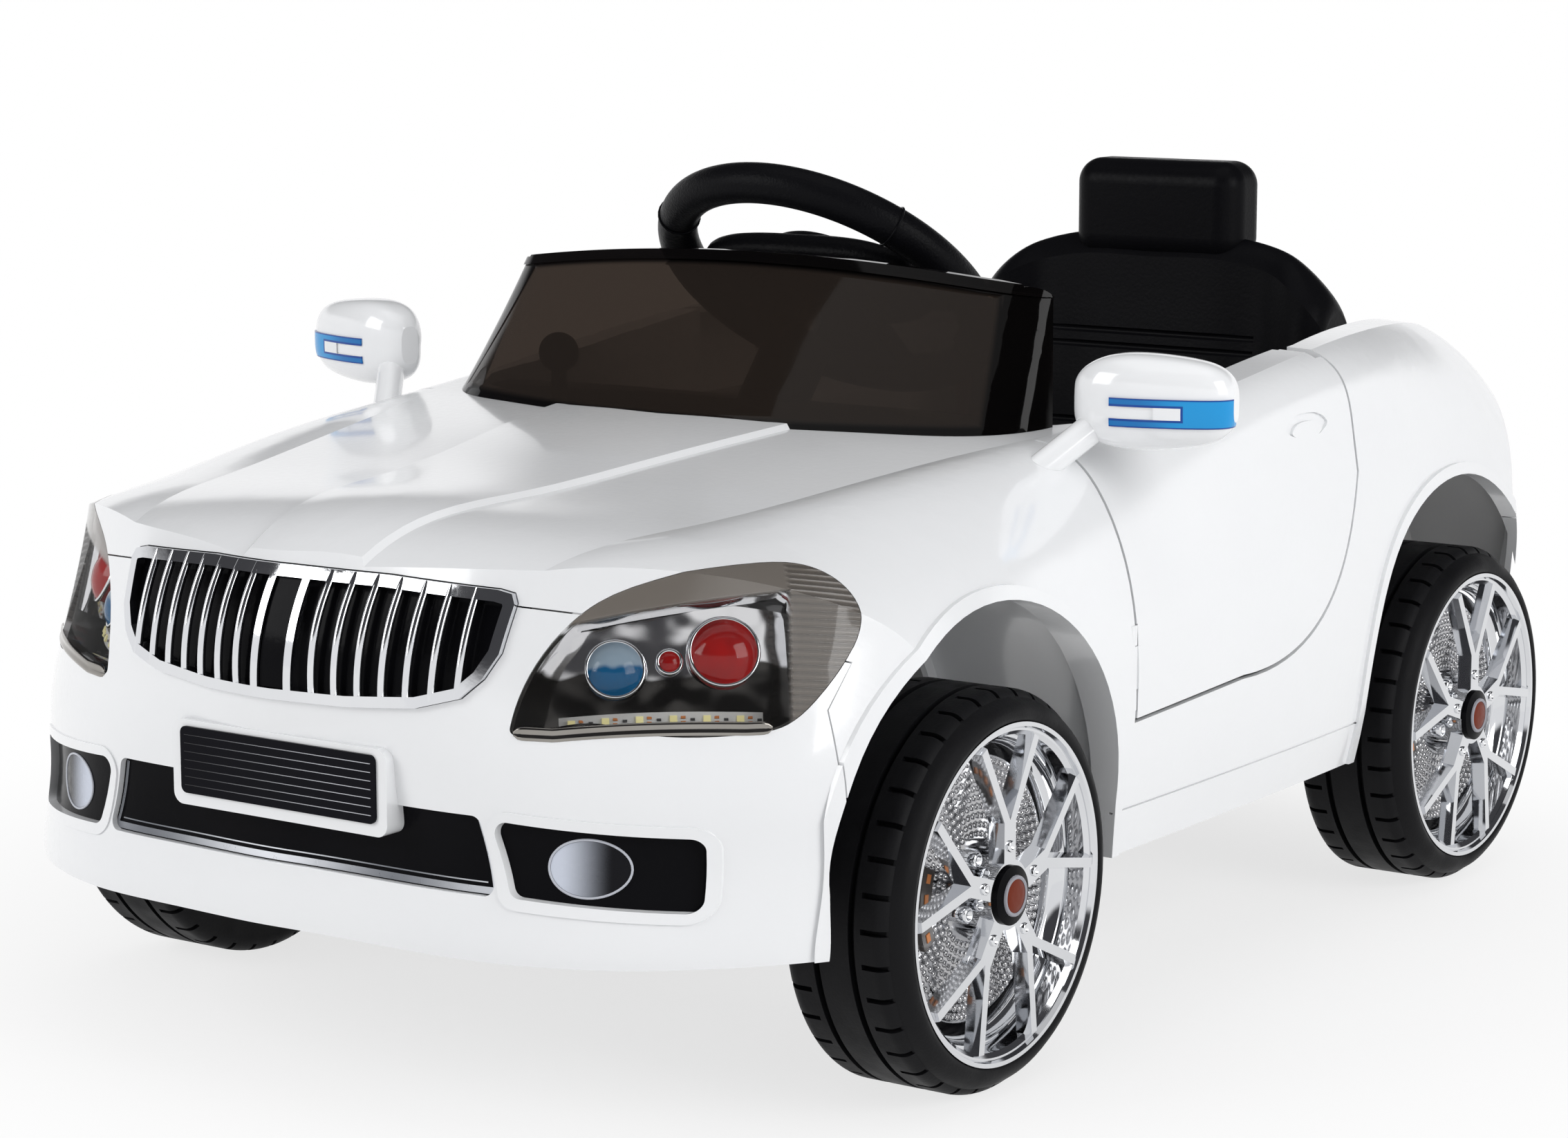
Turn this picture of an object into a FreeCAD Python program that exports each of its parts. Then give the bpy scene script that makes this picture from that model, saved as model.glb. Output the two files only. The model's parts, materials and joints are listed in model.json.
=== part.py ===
import FreeCAD, Part
import math
import os

# Electric ride-on car: white moulded body, chrome wheels, steering, doors and drive.
# Frame: +Z up, the nose points to -Y, +X is the car's left side, millimetres.
# The origin is on the ground under the middle of the car.

V = FreeCAD.Vector
UP = V(0, 0, 1)
LEFT = V(1, 0, 0)
REAR = V(0, 1, 0)
ORIGIN = V(0, 0, 0)
ALONG_ENOUGH = 0.99
DIAGONAL = math.sqrt(0.5)
DOC = FreeCAD.newDocument("RideOnCar")
PARTS = []

SIZES = {
    # Outer skin
    "half_length": 535, "body_half_width": 304, "deck_height": 390, "plan_half_width": 313,
    "nose_depth": 180, "tail_depth": 190, "skin_wall": 4, "skin_foot": 90, "skin_bottom": 105,
    "foot_drop": 6, "hood_step_height": 3, "hood_step_run": 4, "side_point_front": 240,
    # Wheels and wheel arches
    "wheel_radius": 115, "wheel_base": 610, "front_axle_setback": 260, "rim_radius": 95,
    "rim_face": 314, "tyre_outer": 307, "tyre_inner": 237, "arch_radius": 140, "arch_centre": 140,
    "arch_splay": 14, "arch_lip_width": 8, "arch_lip_inner": 285, "arch_lip_outer": 310,
    "arch_lip_proud": 2.5,
    "arch_reach": 150, "liner_inner": 176, "liner_wall": 4, "liner_foot": 150,
    # Panel gaps and seams
    "seam_gap": 0.8, "window_gap": 0.4, "door_gap": 2.5, "flange_overlap": 4, "insert_wall": 2,
    "bumper_seam_top": 302, "bumper_seam_mid_height": 284, "bumper_seam_mid_setback": 85,
    "bumper_seam_low_height": 262, "bumper_seam_low_setback": 146, "bumper_seam_arch_height": 238,
    "bumper_seam_arch_setback": 130, "rear_seam_height": 238, "rear_seam_setback": 140,
    # Cockpit opening
    "cockpit_half_width": 236, "cockpit_wide_start": 50, "cockpit_taper_start": 205, "cockpit_notch": 432,
    "cockpit_notch_half": 205, "cockpit_rear": 478, "cockpit_rear_half": 160, "cockpit_margin": 16,
    # Front lamps and grille
    "lamp_length": 188, "lamp_height": 95, "lamp_plane_start": -215, "lamp_plane_foot": -5,
    "lamp_inner_reach": 470, "lamp_outer_reach": 640, "lamp_depth": 30, "grille_half_width": 140,
    "grille_foot": 233, "grille_height": 72, "grille_frame_width": 6, "grille_proud": 3,
    "grille_bar_width": 5, "grille_bar_radius": 2.3, "grille_bow": 2, "grille_bar_pitch": 15,
    "grille_centre_half": 9, "grille_strip_proud": 1,
    "intake_top_half": 131, "intake_low_half": 142, "intake_top": 182, "intake_foot": 139,
    "fog_inner_top": 138, "fog_inner_low": 151, "fog_outer": 242, "fog_top_inner": 181,
    "fog_top_outer": 174, "fog_foot_inner": 140, "fog_foot_outer": 134, "blue_lamp_radius": 15,
    "red_lamp_radius": 18, "small_lamp_radius": 6, "led_strip_height": 8, "led_strip_wall": 2,
    "led_strip_gap": 0.3,
    "plate_half_width": 71, "plate_foot": 172, "plate_height": 38, "plate_wall": 1.5,
    "plate_border": 7, "plate_face_setback": 5, "plate_round": 4, "window_round": 7,
    "fog_frame_width": 6, "fog_frame_proud": 1, "bezel_round": 6,
    # Tail lamps
    "tail_inner": 168, "tail_outer": 264, "tail_foot": 252, "tail_top": 306, "tail_proud": 1,
    # Doors
    "door_front": 118, "door_foot": 185, "door_mid": 17, "door_mid_height": 190, "door_turn": 144,
    "door_turn_height": 224, "door_rear": 197, "door_rear_height": 298, "door_top": 400,
    "door_inner": 236, "door_inner_wall": 4, "door_relief": 13, "door_heel": 10, "hinge_height": 218,
    "hinge_reach": 301.3,
    "hinge_setback": 117.4, "hinge_barrel_radius": 2.6,
    "hinge_pin_radius": 1.2, "hinge_fit": 0.05, "hinge_lug": 12, "hinge_barrel": 26, "hinge_play": 0.5,
    "hinge_link": 3.4, "handle_y": 135, "handle_height": 334, "handle_half_length": 27,
    "handle_half_height": 8, "handle_flap_drop": 3,
    # Windscreen
    "screen_wall": 3, "screen_foot": 335, "screen_foot_mid": 196, "screen_foot_side": 226,
    "screen_foot_end": 86, "screen_top": 452, "screen_top_mid": 76, "screen_top_side": 198,
    "screen_top_end": 40, "screen_crown": 14, "screen_centre_height": 447, "screen_bead": 1.4,
    "screen_corner": 16, "sill_line": 132, "sill_line_width": 1.2,
    "screen_bead_height": 6,
    # Chassis tray
    "tray_floor": 84, "tray_wall": 4, "tray_rim": 184, "tray_front": 424, "tray_front_half": 150,
    "tray_mid_front": 112, "tray_mid_rear": 195, "tray_mid_half": 228, "tray_rear_half": 200,
    "tray_rear": 505, "tray_front_wall_top": 150, "bulkhead_top": 300, "sill_ledge_outer": 295,
    "sill_ledge_front": 100, "sill_ledge_rear": 150, "tray_rear_flange": 31, "housing_front": 208,
    "housing_rear": 478,
    "housing_top": 304, "housing_gap": 12, "post_radius": 9, "post_foot": 30,
    "front_post_x": 120, "front_post_y": 370, "mid_post_x": 110, "mid_post_y": 190,
    "rear_post_x": 120, "rear_post_y": 488, "bumper_post_x": 90, "bumper_post_width": 30,
    "bumper_post_foot": 108, "bumper_post_height": 22, "screw_radius": 2, "screw_head_radius": 4.5,
    "screw_head_height": 3, "screw_length": 16, "screw_fit": 0.05, "screw_boss": 6, "screw_recess": 3.5,
    "screw_head_play": 0.5,
    # Dashboard and controls
    "dash_front": 120, "dash_nose": 166, "dash_nose_half": 150, "dash_rear": 48, "dash_half_width": 218,
    "dash_foot": 300, "dash_top": 342, "dash_brow": 351, "dash_brow_front": 74, "shroud_radius": 22,
    "shroud_top": 50, "shroud_foot": 125, "lever_x": 140, "lever_y": 98,
    "lever_pivot": 330, "lever_stick_radius": 5, "lever_stick": 36, "lever_knob_radius": 13,
    "lever_slot_half": 8, "lever_slot_depth": 26, "lever_slot_length": 32,
    "lever_pin_radius": 2.5, "lever_pin_half": 12, "power_x": 110, "power_height": 328,
    "power_radius": 9, "power_length": 16, "power_proud": 4, "power_fit": 0.08,
    # Steering
    "steer_centre_back": 5.804, "steer_centre_height": 422, "steer_rim_radius": 105,
    "steer_grip_radius": 13, "steer_hub_radius": 46, "steer_hub_height": 26, "steer_hub_round": 8,
    "steer_spoke_width": 34,
    "steer_spoke_wall": 14, "steer_dish": 10, "column_radius": 8, "column_reach": 365.473,
    "column_head": 6,
    "column_fit": 0.06, "bush_wall": 4, "bush_top": 52, "bush_foot": 96, "crank_length": 30,
    "crank_radius": 6, "crank_ball_radius": 8, "crank_pin_radius": 5, "crank_pin_length": 28,
    "bulkhead_hole": 15,
    "button_radius": 9, "button_height": 6, "button_offset": 26, "button_proud": 3, "button_fit": 0.08,
    # Front axle
    "kingpin_x": 200, "kingpin_radius": 5, "kingpin_fit": 0.05, "axle_height": 115, "beam_width": 20,
    "beam_height": 14, "yoke_inner": 181, "yoke_wall": 6, "yoke_outer": 212, "yoke_low": 94,
    "yoke_high": 136, "knuckle_radius": 10, "knuckle_play": 0.5, "stub_radius": 6,
    "stub_collar_radius": 12, "stub_collar_inner": 213,
    "wheel_fit": 0.06, "kingpin_head_radius": 8, "kingpin_head": 5, "kingpin_tail": 4,
    "arm_length": 58, "arm_width": 12, "arm_wall": 6, "arm_height": 119, "arm_pin_radius": 4,
    "tie_height": 105, "tie_wall": 10, "tie_width": 9, "tie_eye": 20, "tie_eye_length": 26,
    "tie_slot_play": 0.7, "tie_slot_back": 4.6, "tie_slot_front": 8, "tie_block_width": 34,
    "tie_block_front": 26, "tie_block_back": 20, "tie_block_slot_front": 21, "tie_block_slot_back": 15,
    "tie_block_play": 0.8, "axle_clamp_width": 36, "axle_clamp_depth": 44, "axle_clamp_x": 90,
    "nut_radius": 10, "nut_inner": 300.6, "nut_outer": 308,
    # Rear axle and drive
    "rear_axle_radius": 6, "gearbox_inner": 138, "gearbox_radius": 26,
    "gearbox_front": 62, "gearbox_half_height": 24, "motor_radius": 18, "motor_length": 58,
    "motor_nose_radius": 9, "motor_nose": 6, "boss_radius": 18, "boss_end": 236.4,
    "boss_hole": 21, "axle_fit": 0.05,
    # Wheel rims
    "rim_barrel_wall": 5, "rim_lip": 2.5, "rim_dish_face": 268, "rim_dish_wall": 4, "hub_radius": 20,
    "hub_floor": 300, "hub_well": 13, "spoke_wall": 9, "spoke_width": 9.5, "spoke_fork": 37,
    "spoke_stem_width": 16,
    "cap_radius": 17, "cap_rise": 4, "cap_plug": 3, "cap_fit": 0.05, "cap_dome": 9,
    "tread_groove_width": 4, "tread_groove_depth": 5, "tread_slot_width": 3.2, "tread_round": 9,
    "tread_rib_half": 12, "rim_step": 2.5, "seat_groove_radius": 2.6, "seat_groove_half": 88,
    "seat_groove_gap": 11,
    # Seat and headrest
    "seat_half_width": 146, "seat_front": 172, "seat_top": 226, "seat_dip": 212, "seat_foot": 88,
    "seat_rear": 468, "seat_tunnel_front": 238, "seat_tunnel_rear": 398, "seat_tunnel_top": 165,
    "seat_back_low": 408, "seat_back_high": 434, "seat_back_top": 424,
    "seat_shoulder_drop": 40, "seat_wall": 12,
    "seat_bolster_rise": 24, "seat_round": 8, "headrest_half_width": 69,
    "headrest_foot": 405, "headrest_height": 74, "headrest_front": 432, "headrest_depth": 50,
    "headrest_round": 18,
    # Battery, control box and charging socket
    "battery_width": 140, "battery_depth": 100, "battery_height": 95, "battery_y": 240,
    "control_width": 90, "control_depth": 50, "control_height": 32, "control_y": 425,
    "socket_radius": 11, "socket_depth": 24, "socket_x": 105, "socket_height": 150,
    "socket_flange": 15, "socket_flange_wall": 3, "socket_bore": 6, "socket_bore_depth": 18,
    # Accelerator pedal
    "pedal_x": 105, "pedal_width": 56, "pedal_length": 74, "pedal_wall": 6, "pedal_y": 30,
    "pedal_pivot": 96, "pedal_pin_radius": 4, "pedal_bracket": 8, "pedal_play": 0.5, "pedal_fit": 0.06,
    "pedal_barrel_radius": 6, "pedal_ear_half": 12, "pedal_ear_rise": 8,
    # Mirrors
    "mirror_inner": 257, "mirror_outer": 353, "mirror_foot": 346, "mirror_height": 56,
    "mirror_front": 132, "mirror_depth": 44, "mirror_base_x": 247, "mirror_base_y": 148,
    "mirror_base_height": 330, "mirror_stalk_radius": 9, "mirror_stalk_x": 270, "mirror_stalk_y": 114,
    "mirror_stalk_height": 358, "mirror_glass_wall": 2, "mirror_glass_inset": 5,
    "mirror_light_proud": 1, "mirror_light_gap": 0.25,
    "mirror_light_foot": 361, "mirror_light_top": 378, "mirror_light_inner": 282, "mirror_light_bar": 5,
}
ANGLES = {"steer_tilt": 40, "lamp_turn": 40, "lamp_lift": 25, "pedal_lean": 38, "spoke_fork_half": 18,
          "mirror_sweep": 15,
          "spoke_draft": 12}
COUNTS = {"spoke_pairs": 5, "tread_slots": 36, "grille_bars": 7}

# Cross stations of the skin: length share, sill width share, four side points as width and
# height shares, hood crease width share, centre height share
STATION_SHARES = [
    (-1.056, 0.921, [(0.987, 0.487), (0.862, 0.603), (0.674, 0.641), (0.434, 0.656)], 0.132, 0.672),
    (-0.972, 0.938, [(0.987, 0.487), (0.905, 0.636), (0.724, 0.713), (0.461, 0.749)], 0.138, 0.764),
    (-0.897, 0.947, [(0.987, 0.487), (0.924, 0.672), (0.757, 0.762), (0.493, 0.800)], 0.151, 0.823),
    (-0.710, 0.957, [(0.987, 0.487), (0.954, 0.718), (0.822, 0.795), (0.572, 0.833)], 0.191, 0.854),
    (-0.514, 0.964, [(0.990, 0.487), (0.967, 0.749), (0.855, 0.826), (0.638, 0.856)], 0.243, 0.877),
    (-0.336, 0.964, [(0.997, 0.487), (0.951, 0.769), (0.862, 0.849), (0.697, 0.879)], 0.299, 0.900),
    (-0.187, 0.964, [(1.000, 0.487), (0.931, 0.795), (0.868, 0.864), (0.763, 0.895)], 0.316, 0.910),
    (0.037, 0.961, [(1.000, 0.492), (0.931, 0.815), (0.891, 0.885), (0.829, 0.915)], 0.316, 0.928),
    (0.262, 0.954, [(0.997, 0.500), (0.938, 0.833), (0.908, 0.913), (0.842, 0.949)], 0.316, 0.964),
    (0.449, 0.947, [(0.987, 0.513), (0.944, 0.826), (0.908, 0.918), (0.822, 0.969)], 0.309, 0.987),
    (0.626, 0.941, [(0.980, 0.526), (0.951, 0.795), (0.891, 0.905), (0.789, 0.972)], 0.296, 0.995),
    (0.804, 0.928, [(0.974, 0.526), (0.934, 0.764), (0.859, 0.877), (0.743, 0.944)], 0.276, 0.964),
    (0.935, 0.914, [(0.967, 0.513), (0.908, 0.705), (0.809, 0.800), (0.678, 0.859)], 0.257, 0.877),
    (1.047, 0.901, [(0.961, 0.487), (0.882, 0.628), (0.763, 0.697), (0.625, 0.738)], 0.237, 0.754),
]
# How far each side point of a cross station moves in and down with the inset, and the crease's height share
LEAN_SHARES = [(1.0, 0.0), (1.0, 0.3), (0.7, 0.7), (0.4, 1.0)]
CREASE_SHARE = 0.75
# Plan levels of the skin: height share, nose and tail reach shares, share of the fuller lower nose
LEVEL_SHARES = [
    (0.231, 0.983, 0.983, 1.0),
    (0.292, 0.993, 0.991, 1.0),
    (0.346, 0.983, 0.996, 1.0),
    (0.474, 0.978, 1.000, 1.0),
    (0.600, 0.994, 0.996, 0.15),
    (0.774, 0.957, 0.972, 0.0),
    (1.026, 0.822, 0.879, 0.0),
]
# Plan points from the centre line outwards: width share, setback share
UPPER_NOSE_SHARES = [(0.0, 0.0), (0.240, 0.044), (0.457, 0.133), (0.655, 0.294), (0.799, 0.517),
                     (0.904, 0.744), (0.968, 1.0)]
LOWER_NOSE_SHARES = [(0.0, 0.0), (0.240, 0.011), (0.457, 0.044), (0.661, 0.183), (0.812, 0.400),
                     (0.917, 0.633), (0.971, 0.900)]
TAIL_SHARES = [(0.987, 1.0), (0.952, 0.579), (0.885, 0.347), (0.776, 0.179), (0.591, 0.063),
               (0.304, 0.016), (0.0, 0.0)]
# Headlight outline: length and height shares
LAMP_SHARES = [(0.0, 0.10), (0.108, 0.514), (0.254, 0.747), (0.449, 0.869), (0.686, 0.982),
               (0.855, 0.997), (0.965, 0.849), (1.0, 0.661), (0.954, 0.426), (0.866, 0.201),
               (0.770, 0.047), (0.669, 0.0), (0.376, 0.002), (0.119, 0.06)]
# Places of the blue, large red and small red lamps, and the light strip's ends and height
LAMP_PLACE_SHARES = ((0.30, 0.42), (0.61, 0.50), (0.455, 0.46))
LED_STRIP_SHARES = (0.14, 0.72, 0.10)
# Lamp dome in lamp radii: how far its centre lies behind the seat, and its radius
DOME_SHARES = (0.3, 1.3)
# Right half of the grille outline from the top: width and height shares
GRILLE_SHARES = [(0.0, 1.0), (0.45, 0.995), (0.92, 0.95), (0.98, 0.925), (1.0, 0.85), (0.98, 0.49),
                 (0.93, 0.30), (0.85, 0.15), (0.67, 0.055), (0.357, 0.01), (0.0, 0.0)]
# Windscreen plan from the centre line outwards: width share, depth share
SCREEN_SHARES = [(0.0, 0.0), (0.354, 0.077), (0.664, 0.279), (0.863, 0.49), (0.942, 0.663), (1.0, 1.0)]
# Cushion and backrest of the seat: depth share from the front to the back's foot, rise share of the dip
CUSHION_SHARES = [(0.0, -1.0), (0.06, 0.0), (0.20, 0.0), (0.48, 0.8), (0.80, 1.0), (0.94, 0.7), (1.0, 0.0)]
# Seat sections from the middle outwards: width share, bolster rise share, drop share of the shoulder
SEAT_SHARES = [(0.0, 0.0, 0.0), (0.40, 0.0, 0.0), (0.68, 0.10, 0.20), (0.82, 0.85, 0.45), (0.93, 1.0, 0.80),
               (1.0, 0.40, 1.30)]
# Grooves across the seat: cushion depth shares, back height shares
SEAT_GROOVE_SHARES = ((0.26, 0.60), (0.24, 0.58))
# Door handle outline: length and height shares, and the size of the flap inside it
HANDLE_SHARES = [(-1.0, 0.0), (-0.75, 0.62), (-0.3, 0.95), (0.3, 0.95), (0.75, 0.62), (1.0, 0.0),
                 (0.75, -0.62), (0.3, -0.95), (-0.3, -0.95), (-0.75, -0.62)]
HANDLE_FLAP = 0.72
# Ribs of the pedal along its length, and the height of the lever's knob on its stick in knob radii
PEDAL_RIB_SHARES = (0.3, 0.45, 0.6, 0.75, 0.9)
KNOB_SHARE = 0.7
# Points round a mirror section, and how square the section is
MIRROR_POINTS = 12
MIRROR_POWER = 0.7
# Mirror housing sections: reach share, depth share, height share
MIRROR_SHARES = [(0.0, 0.30, 0.45), (0.10, 0.72, 0.80), (0.30, 1.0, 1.0), (0.70, 0.98, 0.94),
                 (0.92, 0.72, 0.72), (1.0, 0.30, 0.36)]


# Sheet, primitives and booleans

def make_sheet():
    """Keep every size, angle and count in one sheet."""
    sheet = DOC.addObject("Spreadsheet::Sheet", "Sizes")
    cells = {**SIZES, **ANGLES, **COUNTS}
    for row, (alias, value) in enumerate(cells.items(), start=1):
        sheet.set("A%d" % row, alias)
        sheet.set("B%d" % row, str(value))
        sheet.setAlias("B%d" % row, alias)
    DOC.recompute()
    return sheet


C = make_sheet()


def bind(obj, **links):
    """Tie properties of an object to cells of the sheet."""
    for prop, text in links.items():
        obj.setExpression(prop, text)
    return obj


def place(obj, base, axis=UP):
    """Stand an object at a point with its own Z along the axis."""
    obj.Placement = FreeCAD.Placement(base, FreeCAD.Rotation(UP, axis))
    return obj


def cylinder(name, radius, height, base, axis=UP):
    """Cylinder whose radius and height are sheet expressions."""
    obj = DOC.addObject("Part::Cylinder", name)
    return place(bind(obj, Radius=radius, Height=height), base, axis)


def box(name, length, width, height, corner):
    """Box whose three sides are sheet expressions."""
    obj = DOC.addObject("Part::Box", name)
    return place(bind(obj, Length=length, Width=width, Height=height), corner)


def fuse(name, *pieces):
    """One solid of several document objects."""
    obj = DOC.addObject("Part::MultiFuse", name)
    obj.Shapes = list(pieces)
    obj.Refine = True
    return obj


def cut(name, base, *tools):
    """A document object less one or more others."""
    obj = DOC.addObject("Part::Cut", name)
    obj.Base = base
    obj.Tool = tools[0] if len(tools) == 1 else fuse(name + "Tools", *tools)
    obj.Refine = True
    return obj


def keep(obj, label):
    """Hand an object in as a sub-part."""
    obj.Label = label
    PARTS.append(obj)
    return obj


def feature(label, shape):
    """Sub-part with a computed shape."""
    obj = DOC.addObject("Part::Feature", label.title().replace("_", ""))
    obj.Shape = shape
    obj.Placement = FreeCAD.Placement()
    return keep(obj, label)


def mirrored(shape):
    """Twin of a shape on the other side of the centre plane."""
    return shape.mirror(ORIGIN, LEFT)


def both(shape):
    """A shape and its twin, as a list."""
    return [shape, mirrored(shape)]


def join(*shapes):
    """Fused and cleaned shape."""
    return shapes[0].fuse(list(shapes[1:])).removeSplitter()


def block(x_from, x_to, y_from, y_to, z_from, z_to):
    """Plain box between two corners."""
    return Part.makeBox(x_to - x_from, y_to - y_from, z_to - z_from, V(x_from, y_from, z_from))


def rod(radius, start, end):
    """Round bar between two points."""
    way = end.sub(start)
    return Part.makeCylinder(radius, way.Length, start, way)


def ring_face(points):
    """Flat face inside straight edges."""
    return Part.Face(Part.makePolygon(points + points[:1]))


def smooth_face(points):
    """Flat face inside one smooth closed curve."""
    curve = Part.BSplineCurve()
    curve.interpolate(Points=points, PeriodicFlag=True)
    return Part.Face(Part.Wire(curve.toShape()))


def spline_edge(points):
    """Smooth edge through points."""
    curve = Part.BSplineCurve()
    curve.interpolate(Points=points)
    return curve.toShape()


def line_edge(start, end):
    """Straight edge."""
    return Part.LineSegment(start, end).toShape()


def front_face(pairs, y):
    """Face drawn in width and height on a plane across the car."""
    return ring_face([V(x, y, z) for x, z in pairs])


def side_face(pairs, x=0):
    """Face drawn in length and height on a plane along the car."""
    return ring_face([V(x, y, z) for y, z in pairs])


# Outer skin of the whole car

def plan_wire(level, inset):
    """Closed plan outline at one height, moved inwards by the inset."""
    height_share, nose_share, tail_share, low_share = level
    nose = -C.half_length * nose_share
    tail = C.half_length * tail_share
    half = []
    for (up_x, up_y), (low_x, low_y) in zip(UPPER_NOSE_SHARES, LOWER_NOSE_SHARES):
        x_share = up_x + (low_x - up_x) * low_share
        y_share = up_y + (low_y - up_y) * low_share
        half.append((C.plan_half_width * x_share, nose + C.nose_depth * y_share))
    for y in (-C.side_point_front, 0, C.side_point_front):
        half.append((C.plan_half_width, y))
    for x_share, y_share in TAIL_SHARES:
        half.append((C.plan_half_width * x_share, tail - C.tail_depth * y_share))
    loop = half + [(-x, y) for x, y in reversed(half[1:-1])]
    points = []
    knots = [0.0]
    for i, (x, y) in enumerate(loop):
        before = loop[i - 1]
        after = loop[(i + 1) % len(loop)]
        along = V(after[0] - before[0], after[1] - before[1], 0).normalize()
        points.append(V(x - along.y * inset, y + along.x * inset, C.deck_height * height_share))
        knots.append(knots[-1] + math.sqrt(math.hypot(after[0] - x, after[1] - y)))
    curve = Part.BSplineCurve()
    curve.interpolate(Points=points, PeriodicFlag=True, Parameters=knots)
    return Part.Wire([curve.toShape()])


def cross_wire(station, inset):
    """Closed cross section with the hood crease, moved inwards by the inset."""
    y_share, foot_share, side_shares, crease_share, centre_share = station
    y = C.half_length * y_share
    foot = C.skin_foot - (C.foot_drop if inset > 0 else 0)
    side = [V(C.body_half_width * foot_share - inset, y, foot)]
    for (x_share, z_share), (lean_x, lean_z) in zip(side_shares, LEAN_SHARES):
        side.append(V(C.body_half_width * x_share - lean_x * inset, y,
                      C.deck_height * z_share - lean_z * inset))
    edge = side[-1]
    centre = C.deck_height * centre_share - inset
    crease_x = C.body_half_width * crease_share
    crease = V(crease_x, y, edge.z + (centre - edge.z) * CREASE_SHARE)
    flank = V((edge.x + crease_x) / 2, y, (edge.z + centre) / 2)
    step = V(crease_x - C.hood_step_run, y, crease.z + C.hood_step_height)
    top = V(0, y, centre + C.hood_step_height)
    twin = [V(-p.x, p.y, p.z) for p in side]
    twin_crease, twin_step, twin_flank = [V(-p.x, p.y, p.z) for p in (crease, step, flank)]
    edges = [
        spline_edge(side),
        spline_edge([edge, flank, crease]),
        line_edge(crease, step),
        spline_edge([step, top, twin_step]),
        line_edge(twin_step, twin_crease),
        spline_edge([twin_crease, twin_flank, twin[-1]]),
        spline_edge(twin[::-1]),
        line_edge(twin[0], side[0]),
    ]
    return Part.Wire(edges)


SKINS = {}


def skin(inset):
    """Solid inside the outer skin, moved inwards by the inset."""
    if inset not in SKINS:
        plan = Part.makeLoft([plan_wire(level, inset) for level in LEVEL_SHARES], True, False)
        cross = Part.makeLoft([cross_wire(row, inset) for row in STATION_SHARES], True, False)
        SKINS[inset] = plan.common(cross)
    return SKINS[inset]


def between(zone, outer, inner):
    """Part of a zone that lies between two depths below the skin."""
    return zone.common(skin(outer)).cut(skin(inner))


def through_front(pairs):
    """Prism through the nose of an outline in width and height."""
    return front_face(pairs, -C.half_length - C.nose_depth).extrude(REAR * (2 * C.nose_depth))


def round_along(shape, radius):
    """Shape with its lengthwise edges rounded."""
    edges = [edge for edge in shape.Edges
             if abs(edge.tangentAt(edge.FirstParameter).dot(REAR)) > ALONG_ENOUGH]
    return shape.makeFillet(radius, edges)


def rounded_front(pairs, radius):
    """Prism through the nose with rounded corners."""
    return round_along(through_front(pairs), radius)


def grown(face, distance):
    """Face with its outline moved outwards."""
    return face.makeOffset2D(distance)


# Outlines of the panels and windows

FRONT_AXLE_Y = -C.half_length + C.front_axle_setback
REAR_AXLE_Y = FRONT_AXLE_Y + C.wheel_base
FAR = 2 * C.half_length


def arch_prism(axle_y, extra, x_from, x_to):
    """Wheel arch opening on the left side: half round with splayed legs."""
    radius = C.arch_radius + extra
    centre = V(x_from, axle_y, C.arch_centre)
    front = V(x_from, axle_y - radius, C.arch_centre)
    rear = V(x_from, axle_y + radius, C.arch_centre)
    top = V(x_from, axle_y, C.arch_centre + radius)
    foot_front = V(x_from, axle_y - radius - C.arch_splay, 0)
    foot_rear = V(x_from, axle_y + radius + C.arch_splay, 0)
    edges = [Part.Arc(front, top, rear).toShape(), line_edge(rear, foot_rear),
             line_edge(foot_rear, foot_front), line_edge(foot_front, front)]
    return Part.Face(Part.Wire(edges)).extrude(LEFT * (x_to - x_from))


def bumper_zone(gap):
    """Everything ahead of the front bumper's seam, less a gap."""
    nose = -C.half_length
    pairs = [(nose - C.nose_depth, C.bumper_seam_top - gap),
             (nose, C.bumper_seam_top - gap),
             (nose + C.bumper_seam_mid_setback - gap, C.bumper_seam_mid_height - gap),
             (nose + C.bumper_seam_low_setback - gap, C.bumper_seam_low_height - gap),
             (nose + C.bumper_seam_arch_setback - gap, C.bumper_seam_arch_height),
             (nose + C.bumper_seam_arch_setback - gap, 0),
             (nose - C.nose_depth, 0)]
    return side_face(pairs, -FAR).extrude(LEFT * (2 * FAR))


def rear_zone(gap):
    """Everything behind and below the rear bumper's seam, less a gap."""
    y = C.half_length - C.rear_seam_setback
    return block(-FAR, FAR, y, FAR, 0, C.rear_seam_height - gap)


def door_prism(extra):
    """Left door outline, grown by a margin."""
    lean = extra * DIAGONAL
    front, rear = -C.door_front - extra, C.door_rear + extra
    low_front = V(0, front, C.door_foot - extra)
    turn = [V(0, C.door_mid, C.door_mid_height - extra),
            V(0, C.door_turn + lean, C.door_turn_height - lean), V(0, rear, C.door_rear_height)]
    top_rear, top_front = V(0, rear, C.door_top), V(0, front, C.door_top)
    edges = [line_edge(low_front, turn[0]), spline_edge(turn), line_edge(turn[-1], top_rear),
             line_edge(top_rear, top_front), line_edge(top_front, low_front)]
    face = Part.Face(Part.Wire(edges))
    face.translate(LEFT * (C.door_inner - C.door_inner_wall))
    return face.extrude(LEFT * C.arch_reach)


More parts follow.
